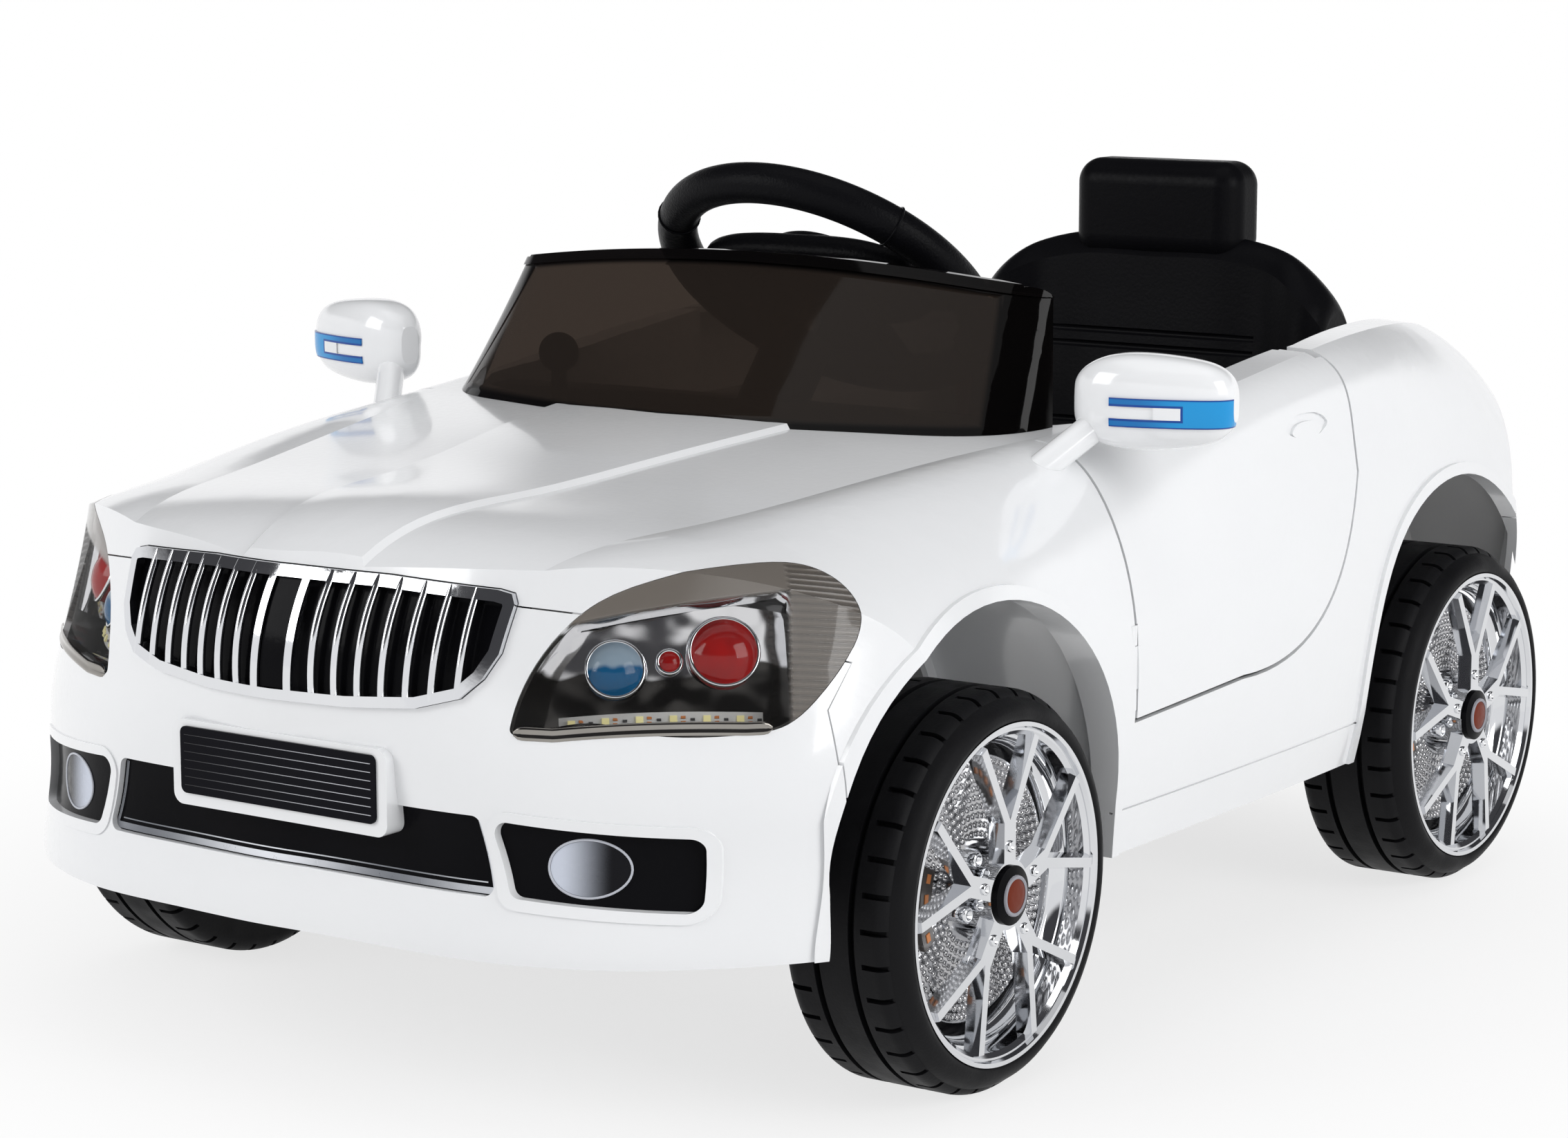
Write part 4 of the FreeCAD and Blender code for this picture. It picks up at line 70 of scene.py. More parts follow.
DISH_FACE, DISH_RADIUS = 0.2895, 0.0765
STUD_START, STUD_END, STUD_PITCH = 0.0290, 0.0755, 0.0050
GAP_FLOOR, BARREL_MOUTH, BARREL_EDGE = DISH_FACE - 0.006, 0.0830, 0.0006
WHEEL_LAMP_RADIUS, WHEEL_LAMP_RISE, WHEEL_LAMP_SPREAD = 0.054, 0.0034, math.radians(24)
FOG_X, FOG_Z, FOG_HALF_WIDTH, FOG_HALF_HEIGHT = 0.188, 0.1570, 0.0195, 0.0149
FRONT_START, LAMP_REACH = -1.0, 0.7

# Lamps with their places, sizes and powers, and the camera

LIGHT_TARGET = Vector((0, 0, 0.3))
TOP_LIGHT = ("top_light", Vector((0.2, -0.2, 2.6)), 2.2, 9)
FRONT_LIGHT = ("front_light", Vector((-1.6, -2.6, 1.7)), 1.6, 36)
SIDE_LIGHT = ("side_light", Vector((2.6, -0.3, 1.4)), 1.6, 33)
CAMERA_TURN, CAMERA_LIFT = math.radians(34.749), math.radians(9.423)
CAMERA_PLACE = Vector((1.40375, -2.06712, 0.64706))
SENSOR_WIDTH, LENS_LENGTH = 36.0, 88.465


# Shader nodes

def new_material(name):
    """Material with its node tree, shader and object coordinates."""
    mat = bpy.data.materials.new(name)
    mat.use_nodes = True
    tree = mat.node_tree
    shader = tree.nodes["Principled BSDF"]
    coords = tree.nodes.new("ShaderNodeTexCoord").outputs["Object"]
    return mat, tree, shader, coords


def set_inputs(node, values):
    """Set plain values on a node's named sockets."""
    for name, value in values.items():
        node.inputs[name].default_value = value


def noise(tree, coords, scale, detail=3.0):
    """Noise value over object coordinates."""
    node = tree.nodes.new("ShaderNodeTexNoise")
    set_inputs(node, {"Scale": scale, "Detail": detail})
    tree.links.new(coords, node.inputs["Vector"])
    return node.outputs["Fac"]


def ramp(tree, value, low, high):
    """Value stretched from the noise's middle range to a new range."""
    node = tree.nodes.new("ShaderNodeMapRange")
    set_inputs(node, {"From Min": 0.3, "From Max": 0.7, "To Min": low, "To Max": high})
    tree.links.new(value, node.inputs["Value"])
    return node.outputs["Result"]


def smooth_step(tree, value, start, end, low=0.0):
    """Soft step from a low level at the start to one at the end, which may lie below the start."""
    node = tree.nodes.new("ShaderNodeMapRange")
    node.interpolation_type = "SMOOTHSTEP"
    set_inputs(node, {"From Min": start, "From Max": end, "To Min": low})
    tree.links.new(value, node.inputs["Value"])
    return node.outputs["Result"]


def above(tree, value, limit, soft):
    """One above a limit, falling to zero over a soft edge below it."""
    return smooth_step(tree, value, limit - soft, limit)


def below(tree, value, limit, soft):
    """One below a limit, falling to zero over a soft edge above it."""
    return smooth_step(tree, value, limit + soft, limit)


def maths(tree, operation, first, second=None):
    """Arithmetic on sockets or numbers."""
    node = tree.nodes.new("ShaderNodeMath")
    node.operation = operation
    for socket, value in zip(node.inputs, (first, second)):
        if value is None:
            continue
        if isinstance(value, (int, float)):
            socket.default_value = value
        else:
            tree.links.new(value, socket)
    return node.outputs["Value"]


def band(tree, value, low, high, soft):
    """One between two limits, falling to zero over a soft edge on each side."""
    return maths(tree, "MULTIPLY", above(tree, value, low, soft), below(tree, value, high, soft))


def linear(tree, value, factor, offset):
    """Value times a factor, plus an offset."""
    return maths(tree, "ADD", maths(tree, "MULTIPLY", value, factor), offset)


def share_of(tree, value, start, length):
    """Value as a share of a length that begins at the start."""
    return maths(tree, "DIVIDE", maths(tree, "SUBTRACT", value, start), length)


def axis_value(tree, coords, axis):
    """One coordinate, or the distance along a direction."""
    node = tree.nodes.new("ShaderNodeVectorMath")
    node.operation = "DOT_PRODUCT"
    node.inputs[1].default_value = axis
    tree.links.new(coords, node.inputs[0])
    return node.outputs["Value"]


def side_distance(tree, coords):
    """Distance from the car's middle plane."""
    return maths(tree, "ABSOLUTE", axis_value(tree, coords, X_AXIS))


def tint(tree, value, dark, light):
    """Colour between two by a value."""
    node = tree.nodes.new("ShaderNodeMix")
    node.data_type = "RGBA"
    set_inputs(node, {"A": (*dark, 1), "B": (*light, 1)})
    tree.links.new(value, node.inputs["Factor"])
    return node.outputs["Result"]


def cover(tree, value, under, over):
    """Linked colour under a plain one that covers it where the value is one."""
    node = tree.nodes.new("ShaderNodeMix")
    node.data_type = "RGBA"
    set_inputs(node, {"B": (*over, 1)})
    tree.links.new(value, node.inputs["Factor"])
    tree.links.new(under, node.inputs["A"])
    return node.outputs["Result"]


def colour(tree, shader, value, dark, light):
    """Give the shader a base colour between two by a value."""
    tree.links.new(tint(tree, value, dark, light), shader.inputs["Base Color"])


def gloss(tree, shader, value, low, high):
    """Give the shader an uneven roughness."""
    tree.links.new(ramp(tree, value, low, high), shader.inputs["Roughness"])


def emboss(tree, shader, height, strength, distance):
    """Bump the shader's surface by a height value."""
    node = tree.nodes.new("ShaderNodeBump")
    set_inputs(node, {"Strength": strength, "Distance": distance})
    tree.links.new(height, node.inputs["Height"])
    tree.links.new(node.outputs["Normal"], shader.inputs["Normal"])


# Materials

def plastic(name, dark, light, rough, grain, depth, coat=0.0, specular=0.5):
    """Moulded plastic with faint colour clouds, uneven gloss and a fine grain."""
    mat, tree, shader, coords = new_material(name)
    colour(tree, shader, noise(tree, coords, scale=9.0), dark, light)
    fine = noise(tree, coords, grain, detail=4.0)
    gloss(tree, shader, fine, rough * 0.85, rough * 1.2)
    emboss(tree, shader, fine, strength=0.25, distance=depth)
    set_inputs(shader, {"Coat Weight": coat, "Coat Roughness": 0.06, "Specular IOR Level": specular})
    return mat


def metal(name, dark, light, rough, grain, depth):
    """Plated or brushed metal."""
    mat, tree, shader, coords = new_material(name)
    colour(tree, shader, noise(tree, coords, scale=25.0), dark, light)
    fine = noise(tree, coords, grain, detail=4.0)
    gloss(tree, shader, fine, rough * 0.7, rough * 1.4)
    emboss(tree, shader, fine, strength=0.2, distance=depth)
    set_inputs(shader, {"Metallic": 1.0})
    return mat


def lens_plastic(name, deep, pale, glow, rough=0.08):
    """Coloured lens with moulded flutes and a faint glow."""
    mat, tree, shader, coords = new_material(name)
    flutes = noise(tree, coords, scale=90.0, detail=1.0)
    colour(tree, shader, flutes, deep, pale)
    emboss(tree, shader, flutes, strength=0.10, distance=0.0006)
    set_inputs(shader, {"Roughness": rough, "Specular IOR Level": 0.35,
                        "Emission Color": (*pale, 1), "Emission Strength": glow})
    return mat


def mirror_light_material():
    """Blue forked light strip, deep along its edges, with the white housing between its two prongs; the
    paler blue inside its edges and towards its outer end is a painted highlight.
    """
    mat, tree, shader, coords = new_material("mirror_light_blue")
    x, z = side_distance(tree, coords), axis_value(tree, coords, Z_AXIS)
    foot, top = MIRROR_LIGHT_FOOT + MIRROR_LIGHT_BAR, MIRROR_LIGHT_TOP - MIRROR_LIGHT_BAR
    edge, soft, sharp, pale_start, deep_level = 0.0011, 0.0006, 0.0001, 0.332, 0.45
    slot = maths(tree, "MULTIPLY", band(tree, z, foot, top, sharp),
                 below(tree, x, MIRROR_SLOT_END, sharp))
    slot_rim = maths(tree, "MULTIPLY", band(tree, z, foot - edge, top + edge, soft),
                     below(tree, x, MIRROR_SLOT_END + edge, soft))
    inside = maths(tree, "MULTIPLY",
                   band(tree, z, MIRROR_LIGHT_FOOT + edge, MIRROR_LIGHT_TOP - edge, soft),
                   above(tree, x, MIRROR_LIGHT_START + edge, soft))
    # Painted highlight: paler blue inside the edges, strongest towards the outer end.
    outer = linear(tree, above(tree, x, pale_start, soft=0.03), 1 - deep_level, deep_level)
    pale = maths(tree, "MULTIPLY", outer, inside)
    pale = maths(tree, "MULTIPLY", pale, maths(tree, "SUBTRACT", 1.0, slot_rim))
    blue = tint(tree, pale, (0.002, 0.055, 0.30), (0.008, 0.30, 0.68))
    tree.links.new(cover(tree, slot, blue, (0.86, 0.87, 0.885)), shader.inputs["Base Color"])
    gloss(tree, shader, noise(tree, coords, scale=120.0), 0.07, 0.14)
    set_inputs(shader, {"Specular IOR Level": 0.35})
    return mat


def lamp_axes(sign):
    """Outward, lengthwise and upward directions of a headlight."""
    level = math.cos(LAMP_LIFT)
    out = Vector((math.sin(LAMP_TURN) * level, -math.cos(LAMP_TURN) * level, math.sin(LAMP_LIFT)))
    along = Vector((math.cos(LAMP_TURN), math.sin(LAMP_TURN), 0))
    rise = out.cross(along)
    return tuple(Vector((v.x * sign, v.y, v.z)) for v in (out, along, rise))


def blue_material():
    """Blue lamp lens, with a painted reflection of the sky that washes its upper half pale."""
    mat, tree, shader, coords = new_material("blue_lens")
    pale_start, waviness = LAMPS[0][1] + 0.05, 0.06
    rise = lamp_axes(1)[2]
    sideways = maths(tree, "MULTIPLY", side_distance(tree, coords), rise.x)
    height = maths(tree, "ADD", sideways, axis_value(tree, coords, (0, rise.y, rise.z)))
    flutes = noise(tree, coords, scale=90.0, detail=1.0)
    level = maths(tree, "ADD", share_of(tree, height, LAMP_FOOT, LAMP_HEIGHT),
                  maths(tree, "MULTIPLY", flutes, waviness))
    # Painted reflection: above this wavy level the lens colour is painted pale.
    pale = above(tree, level, pale_start, soft=0.03)
    colour(tree, shader, pale, (0.004, 0.095, 0.23), (0.28, 0.37, 0.45))
    gloss(tree, shader, flutes, 0.07, 0.12)
    emboss(tree, shader, flutes, strength=0.10, distance=0.0006)
    set_inputs(shader, {"Specular IOR Level": 0.35})
    return mat


def lens_material(side, sign):
    """Headlight lens: clear over the lamps, ribbed and brown towards the rear and top."""
    mat, tree, shader, coords = new_material("lamp_lens_" + side)
    rib_rate, rib_start, rib_tone, clear, brown = 150.0, 0.80, 0.45, 0.06, 0.76
    along, rise = lamp_axes(sign)[1:]
    u = share_of(tree, axis_value(tree, coords, along), LAMP_START, LAMP_LENGTH)
    v = share_of(tree, axis_value(tree, coords, rise), LAMP_FOOT, LAMP_HEIGHT)
    rear = above(tree, u, LAMP_WINDOW_END, soft=0.02)
    slope = maths(tree, "SUBTRACT", v, maths(tree, "MULTIPLY", u, LAMP_WINDOW_SLOPE))
    shade = maths(tree, "MAXIMUM", rear, above(tree, slope, LAMP_WINDOW_TOP, soft=0.03))
    wave = maths(tree, "SINE", maths(tree, "MULTIPLY", v, rib_rate))
    ribs = maths(tree, "MULTIPLY", wave, rear)
    line = maths(tree, "MULTIPLY", above(tree, ribs, rib_start, soft=0.25), rib_tone)
    tone = maths(tree, "SUBTRACT", shade, line)
    colour(tree, shader, tone, (0.045, 0.042, 0.04), (0.185, 0.165, 0.145))
    tree.links.new(linear(tree, shade, brown, clear), shader.inputs["Alpha"])
    emboss(tree, shader, ribs, strength=0.7, distance=0.0010)
    set_inputs(shader, {"Roughness": 0.05, "Coat Weight": 0.8})
    return mat


def reflector_material(side, sign):
    """Chrome bowl with wavy pressed facets, with a painted reflection: dark in its lower half and bright
    above.
    """
    mat, tree, shader, coords = new_material("reflector_" + side)
    painted_reflection_start, waviness = 0.76, 0.55
    rise = lamp_axes(sign)[2]
    height = share_of(tree, axis_value(tree, coords, rise), LAMP_FOOT, LAMP_HEIGHT)
    swirl = noise(tree, coords, scale=38.0, detail=1.0)
    level = maths(tree, "ADD", height, maths(tree, "MULTIPLY", swirl, waviness))
    # Painted reflection: the colour is dark below the wavy level and bright above it.
    light = above(tree, level, painted_reflection_start, soft=0.05)
    colour(tree, shader, light, (0.055, 0.053, 0.05), (0.84, 0.84, 0.85))
    gloss(tree, shader, noise(tree, coords, scale=70.0), 0.05, 0.10)
    emboss(tree, shader, swirl, strength=0.5, distance=0.004)
    set_inputs(shader, {"Metallic": 1.0})
    return mat


def seat_material():
    """Satin black seat plastic with a fine leather grain."""
    mat, tree, shader, coords = new_material("seat_black")
    grain = noise(tree, coords, scale=420.0, detail=5.0)
    colour(tree, shader, noise(tree, coords, scale=12.0), (0.003, 0.003, 0.004), (0.006, 0.006, 0.007))
    gloss(tree, shader, grain, 0.28, 0.40)
    emboss(tree, shader, grain, strength=0.2, distance=0.0006)
    set_inputs(shader, {"Specular IOR Level": 0.045})
    return mat


def tyre_material():
    """Matte black moulded rubber-like plastic with faint scuffs."""
    mat, tree, shader, coords = new_material("tyre_black")
    scuff = noise(tree, coords, scale=45.0, detail=6.0)
    colour(tree, shader, scuff, (0.004, 0.004, 0.005), (0.008, 0.008, 0.009))
    gloss(tree, shader, scuff, 0.44, 0.62)
    pores = noise(tree, coords, scale=500.0, detail=4.0)
    emboss(tree, shader, pores, strength=0.25, distance=0.0005)
    set_inputs(shader, {"Specular IOR Level": 0.12})
    return mat


def screen_material():
    """Smoked brown windscreen, nearly black towards its edges."""
    mat, tree, shader, coords = new_material("smoked_screen")
    top_width, side_limit, side_lean, foot_limit = 0.010, 0.284, 0.24, 0.352
    x, z = side_distance(tree, coords), axis_value(tree, coords, Z_AXIS)
    crown = maths(tree, "MULTIPLY", maths(tree, "POWER", x, 2.0), SCREEN_CROWN / SCREEN_TOP_HALF ** 2)
    below_top = maths(tree, "SUBTRACT", SCREEN_CENTRE, maths(tree, "ADD", z, crown))
    edge = maths(tree, "SUBTRACT", 1.0, above(tree, below_top, top_width, soft=0.003))
    lean = maths(tree, "ADD", x, maths(tree, "MULTIPLY", z, side_lean))
    side = above(tree, lean, side_limit, soft=0.004)
    foot = below(tree, z, foot_limit, soft=0.004)
    border = maths(tree, "MAXIMUM", maths(tree, "MAXIMUM", edge, side), foot)
    colour(tree, shader, border, (0.052, 0.039, 0.031), (0.005, 0.004, 0.004))
    gloss(tree, shader, noise(tree, coords, scale=60.0), 0.02, 0.05)
    emboss(tree, shader, border, strength=0.4, distance=0.0012)
    set_inputs(shader, {"Transmission Weight": 0.72, "IOR": 1.25})
    return mat


def fog_material():
    """Printed silver lamp face with a painted reflection, pale at its inner side and dark at its outer
    side.
    """
    mat, tree, shader, coords = new_material("fog_lamp_face")
    pale_end, fade = 0.172, 0.028
    # Painted reflection: pale towards the car's middle, fading to dark at the outer side.
    share = below(tree, side_distance(tree, coords), pale_end, fade)
    colour(tree, shader, share, (0.004, 0.004, 0.006), (0.62, 0.66, 0.75))
    gloss(tree, shader, noise(tree, coords, scale=200.0), 0.20, 0.32)
    set_inputs(shader, {"Specular IOR Level": 0.12})
    return mat


def silver_material():
    """Printed silver border with painted highlights, bright in places along its length."""
    mat, tree, shader, coords = new_material("silver_border")
    rate, start = 34.0, 2.2
    # Painted highlights: a wave along the length brightens the border in places.
    wave = maths(tree, "SINE", linear(tree, axis_value(tree, coords, X_AXIS), rate, start))
    colour(tree, shader, linear(tree, wave, 0.5, 0.5), (0.16, 0.17, 0.19), (0.72, 0.74, 0.78))
    gloss(tree, shader, noise(tree, coords, scale=150.0), 0.25, 0.36)
    set_inputs(shader, {"Metallic": 0.4})
    return mat


def plate_line_material():
    """Pale lines that fade towards one end of the plate."""
    mat, tree, shader, coords = new_material("plate_line")
    pale_start, fade = PLATE_HALF * 0.8, PLATE_HALF * 1.8
    share = above(tree, axis_value(tree, coords, X_AXIS), pale_start, fade)
    colour(tree, shader, share, (0.010, 0.010, 0.013), (0.55, 0.56, 0.60))
    gloss(tree, shader, noise(tree, coords, scale=200.0), 0.30, 0.42)
    return mat


# Finishes: two colours, then roughness, grain scale and grain depth, or the glow of a lens

WHITE = plastic("white_body", (0.84, 0.85, 0.865), (0.88, 0.89, 0.90), 0.16, 220.0, 0.0003, coat=0.7)
BLACK = plastic("black_trim", (0.003, 0.003, 0.004), (0.005, 0.005, 0.006), 0.16, 300.0, 0.0003,
                specular=0.04)
SATIN = plastic("black_satin", (0.004, 0.004, 0.005), (0.007, 0.007, 0.008), 0.36, 380.0, 0.0006,
                specular=0.04)
GRAIN = plastic("black_grain", (0.003, 0.003, 0.004), (0.006, 0.006, 0.007), 0.34, 620.0, 0.0016,
                specular=0.05)
PLATE = plastic("plate_black", (0.003, 0.003, 0.005), (0.005, 0.005, 0.008), 0.22, 250.0, 0.0002,
                specular=0.06)
ORANGE = plastic("cap_disc", (0.13, 0.020, 0.008), (0.19, 0.030, 0.011), 0.35, 300.0, 0.0004,
                 specular=0.12)
TRAY = plastic("tray_plastic", (0.52, 0.52, 0.52), (0.60, 0.60, 0.60), 0.50, 260.0, 0.0008)
PALE = plastic("pale_line", (0.45, 0.47, 0.52), (0.60, 0.62, 0.68), 0.35, 250.0, 0.0002)
BOARD = plastic("led_board", (0.62, 0.62, 0.60), (0.72, 0.72, 0.70), 0.45, 300.0, 0.0003)
COPPER = plastic("led_pad", (0.50, 0.16, 0.04), (0.60, 0.22, 0.06), 0.40, 300.0, 0.0003)
RESISTOR = plastic("led_resistor", (0.03, 0.03, 0.03), (0.06, 0.06, 0.06), 0.40, 300.0, 0.0003)
GREY_RING = plastic("cap_ring", (0.26, 0.26, 0.29), (0.34, 0.34, 0.38), 0.35, 300.0, 0.0003)
SMOKE = plastic("lamp_window", (0.05, 0.045, 0.042), (0.09, 0.08, 0.075), 0.20, 300.0, 0.0003)
RIM = metal("rim_chrome", (0.66, 0.67, 0.69), (0.72, 0.73, 0.75), 0.055, 90.0, 0.0001)
# Darker copy of the rim chrome: painted shade for the dish deep behind the spokes.
DISH = metal("dish_chrome", (0.40, 0.40, 0.41), (0.54, 0.54, 0.55), 0.10, 120.0, 0.0005)
SILL = metal("lamp_sill", (0.25, 0.235, 0.215), (0.35, 0.335, 0.31), 0.10, 120.0, 0.0003)
CHROME = metal("chrome_trim", (0.70, 0.71, 0.73), (0.78, 0.79, 0.81), 0.06, 80.0, 0.0004)
STEEL = metal("steel", (0.45, 0.46, 0.48), (0.58, 0.59, 0.60), 0.34, 300.0, 0.0006)
DARK_STEEL = metal("painted_steel", (0.03, 0.03, 0.032), (0.05, 0.05, 0.052), 0.45, 260.0, 0.0006)
MIRROR = metal("mirror_face", (0.75, 0.77, 0.80), (0.80, 0.82, 0.85), 0.03, 60.0, 0.0001)
RED = lens_plastic("red_lens", (0.20, 0.002, 0.003), (0.42, 0.006, 0.005), 0.03)
LED = lens_plastic("led_chip", (0.70, 0.62, 0.28), (0.95, 0.88, 0.45), 0.12, rough=0.3)
BUTTON = lens_plastic("red_button", (0.30, 0.006, 0.006), (0.52, 0.02, 0.015), 0.02, rough=0.2)
BLUE = blue_material()
SEAT = seat_material()
TYRE = tyre_material()
SCREEN = screen_material()
FOG_FACE = fog_material()
SILVER = silver_material()
PLATE_LINE = plate_line_material()

SLOT_MATERIALS = {
    "white_body": WHITE, "black_trim": BLACK, "black_satin": SATIN, "black_grain": GRAIN,
    "chrome_trim": CHROME, "plate_black": PLATE, "smoked_screen": SCREEN, "blue_lens": BLUE,
    "red_lens": RED, "red_button": BUTTON, "led_board": BOARD, "mirror_face": MIRROR,
    "tray_plastic": TRAY, "steel": STEEL, "painted_steel": DARK_STEEL, "motor_can": STEEL,
    "battery_case": SATIN, "tyre_black": TYRE,
}


def dress_nodes():
    """Give every node the material of its slot, with a few nodes of their own."""
    own = {"seat": SEAT, "headrest": SEAT, "mirror_lights": mirror_light_material()}
    for side, sign in SIDES:
        own["headlight_lens_" + side] = lens_material(side, sign)
        own["headlight_reflector_" + side] = reflector_material(side, sign)
        for end in ("front", "rear"):
            own["rim_%s_%s" % (end, side)] = RIM
    for row in frame["record"]["subparts"]:
        mesh = NODES[row["node"]].data
        mesh.materials.clear()
        mesh.materials.append(own.get(row["node"]) or SLOT_MATERIALS[row["material_slot"]])


# Meshes and pieces

def add_piece(name, points, faces, mat, body, slot, smooth=True):
    """Mesh piece that rides on a body, with the given material."""
    mesh = bpy.data.meshes.new(name)
    mesh.from_pydata([tuple(p) for p in points], [], faces)
    mesh.update()
    for polygon in mesh.polygons:
        polygon.use_smooth = smooth
    mesh.materials.append(mat)
    obj = bpy.data.objects.new(name, mesh)
    bpy.context.scene.collection.objects.link(obj)
    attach(obj, body)


def turns(count):
    """Even angles round a full turn."""
    return [2 * math.pi * j / count for j in range(count)]


def loop_faces(rings, around, closed=False):
    """Faces between neighbouring rings of points, and from the last ring to the first if closed."""
    faces = []
    for i in range(rings if closed else rings - 1):
        a, b = i * around, (i + 1) % rings * around
        for j in range(around):
            k = (j + 1) % around
            faces.append((a + j, a + k, b + k, b + j))
    return faces


def sheet_faces(rows, row):
    """Faces between neighbouring rows of points."""
    faces = []
    for i in range(rows - 1):
        for j in range(row - 1):
            faces.append((i * row + j, i * row + j + 1, (i + 1) * row + j + 1, (i + 1) * row + j))
    return faces


def merge(parts):
    """Several meshes as one."""
    points, faces = [], []
    for more_points, more_faces in parts:
        start = len(points)
        points += list(more_points)
        faces += [tuple(i + start for i in face) for face in more_faces]
    return points, faces


def tube_mesh(path, radius, around):
    """Points and faces of a round tube along a closed path."""
    points = []
    count = len(path)
    side = (path[1] - path[-1]).normalized().orthogonal().normalized()
    for i, point in enumerate(path):
        way = (path[(i + 1) % count] - path[i - 1]).normalized()
        side = (side - way * side.dot(way)).normalized()
        other = way.cross(side)
        for turn in turns(around):
            points.append(point + (side * math.cos(turn) + other * math.sin(turn)) * radius)
    return points, loop_faces(count, around, closed=True)


def turned_mesh(profile, place, around):
    """Points and faces of a profile of axial and radial pairs turned about local X."""
    points = [place @ Vector((x, r * math.cos(turn), r * math.sin(turn)))
              for x, r in profile for turn in turns(around)]
    return points, loop_faces(len(profile), around)


def block_mesh(centre, axes, sizes, edge):
    """Small block with chamfered top edges: axes are length, width and outward."""
    along, across, out = axes
    half_l, half_w, height = sizes[0] / 2, sizes[1] / 2, sizes[2]
    points = []
    for grow, lift in ((0, 0), (0, height - edge), (-edge, height)):
        for sx, sy in ((-1, -1), (1, -1), (1, 1), (-1, 1)):
            corner = centre + along * (sx * (half_l + grow)) + across * (sy * (half_w + grow))
            points.append(corner + out * lift)
    return points, [(8, 9, 10, 11), (3, 2, 1, 0)] + loop_faces(3, 4)


def surface_of(node):
    """Search tree of a node's surface."""
    mesh = NODES[node].data
    return BVHTree.FromPolygons([v.co for v in mesh.vertices], [p.vertices for p in mesh.polygons])


def drop_on(tree, start, way):
    """Point where a line meets a surface, or None."""
    return tree.ray_cast(start, way)[0]


def front_point(tree, x, z, lift):
    """Point on a front surface, lifted off it towards the nose."""
    return drop_on(tree, Vector((x, FRONT_START, z)), Y_AXIS) + Vector((0, -lift, 0))


# Front panels: fog lamps, border of the lower intake and plate lines

def fog_oval(tree, sign, half_width, half_height, lift):
    """Oval of points on a fog panel."""
    return [front_point(tree, sign * (FOG_X + half_width * math.cos(turn)),
                        FOG_Z + half_height * math.sin(turn), lift) for turn in turns(48)]


def fog_lamps():
    """Oval lamps with a pale ring, laid on the fog panels."""
    tree = surface_of("fog_panels")
    rings, lift, bulge = 6, 0.0004, 0.0014
    ring_gap, ring_lift, ring_radius = 0.0008, 0.0003, 0.0007
    for side, sign in SIDES:
        ovals = []
        for i in range(rings + 1):
            share = i / rings
            height = lift + bulge * (1 - share ** 2)
            ovals.append(fog_oval(tree, sign, FOG_HALF_WIDTH * share, FOG_HALF_HEIGHT * share, height))
        faces = loop_faces(len(ovals), len(ovals[0]))
        add_piece("fog_lamp_" + side, sum(ovals, []), faces, FOG_FACE, "chassis", "chrome_trim")
        path = fog_oval(tree, sign, FOG_HALF_WIDTH + ring_gap, FOG_HALF_HEIGHT + ring_gap, ring_lift)
        ring = tube_mesh(path, ring_radius, around=8)
        add_piece("fog_ring_" + side, *ring, PALE, "chassis", "chrome_trim")


def strip_along(tree, path, width, lift):
    """Flat strip along a path of width and height pairs, laid on a front surface."""
    points = []
    for i, (x, z) in enumerate(path):
        before, after = path[max(i - 1, 0)], path[min(i + 1, len(path) - 1)]
        way = Vector((after[0] - before[0], after[1] - before[1])).normalized()
        for share in (-0.5, 0.5):
            px, pz = x - way.y * width * share, z + way.x * width * share
            points.append(front_point(tree, px, pz, lift))
    return points, sheet_faces(len(path), 2)


def between_points(corners, steps):
    """Path of evenly spaced pairs along straight runs."""
    path = []
    for (ax, az), (bx, bz) in zip(corners, corners[1:]):
        for i in range(steps):
            share = i / steps
            path.append((ax + (bx - ax) * share, az + (bz - az) * share))
    path.append(corners[-1])
    return path


def intake_border():
    """Silver border of the lower intake with a thin line inside it."""
    tree = surface_of("lower_intake")
    top, foot, top_half, foot_half = 0.1795, 0.1415, 0.1290, 0.1390
    side_width, foot_width, line_width = 0.0022, 0.0036, 0.0007
    lift, foot_lift, line_rise, line_inset = 0.0003, 0.00035, 0.0042, 0.005
    side_steps, foot_steps = 16, 60
    parts = []
    for sign in (-1, 1):
        path = between_points([(sign * top_half, top), (sign * foot_half, foot)], side_steps)
        parts.append(strip_along(tree, path, side_width, lift))
    path = between_points([(-foot_half, foot), (foot_half, foot)], foot_steps)
    parts.append(strip_along(tree, path, foot_width, foot_lift))
    line_half, line_z = foot_half - line_inset, foot + line_rise
    path = between_points([(-line_half, line_z), (line_half, line_z)], foot_steps)
    parts.append(strip_along(tree, path, line_width, lift))
    add_piece("intake_border", *merge(parts), SILVER, "chassis", "chrome_trim")


def plate_lines():
    """Generic lines across the blank plate."""
    count, margin, width, height, edge = 7, 0.006, 0.0004, 0.00025, 0.0001
    sizes = (2 * PLATE_HALF - margin, width, height)
    parts = []
    for i in range(count):
        centre = Vector((0, PLATE_FACE, PLATE_FOOT + PLATE_HEIGHT * (i + 1) / (count + 1)))
        parts.append(block_mesh(centre, (X_AXIS, Z_AXIS, -Y_AXIS), sizes, edge))
    add_piece("plate_lines", *merge(parts), PLATE_LINE, "chassis", "plate_black", smooth=False)


# Headlights

def lamp_point(sign, x_share, z_share, reach):
    """Point in front of or inside a headlight."""
    out, along, rise = lamp_axes(sign)
    return (out * reach + along * (LAMP_START + LAMP_LENGTH * x_share)
            + rise * (LAMP_FOOT + LAMP_HEIGHT * z_share))


def lamp_hit(tree, sign, x_share, z_share):
    """Point where a line into a headlight meets a surface, or None."""
    out = lamp_axes(sign)[0]
    return drop_on(tree, lamp_point(sign, x_share, z_share, LAMP_REACH), -out)


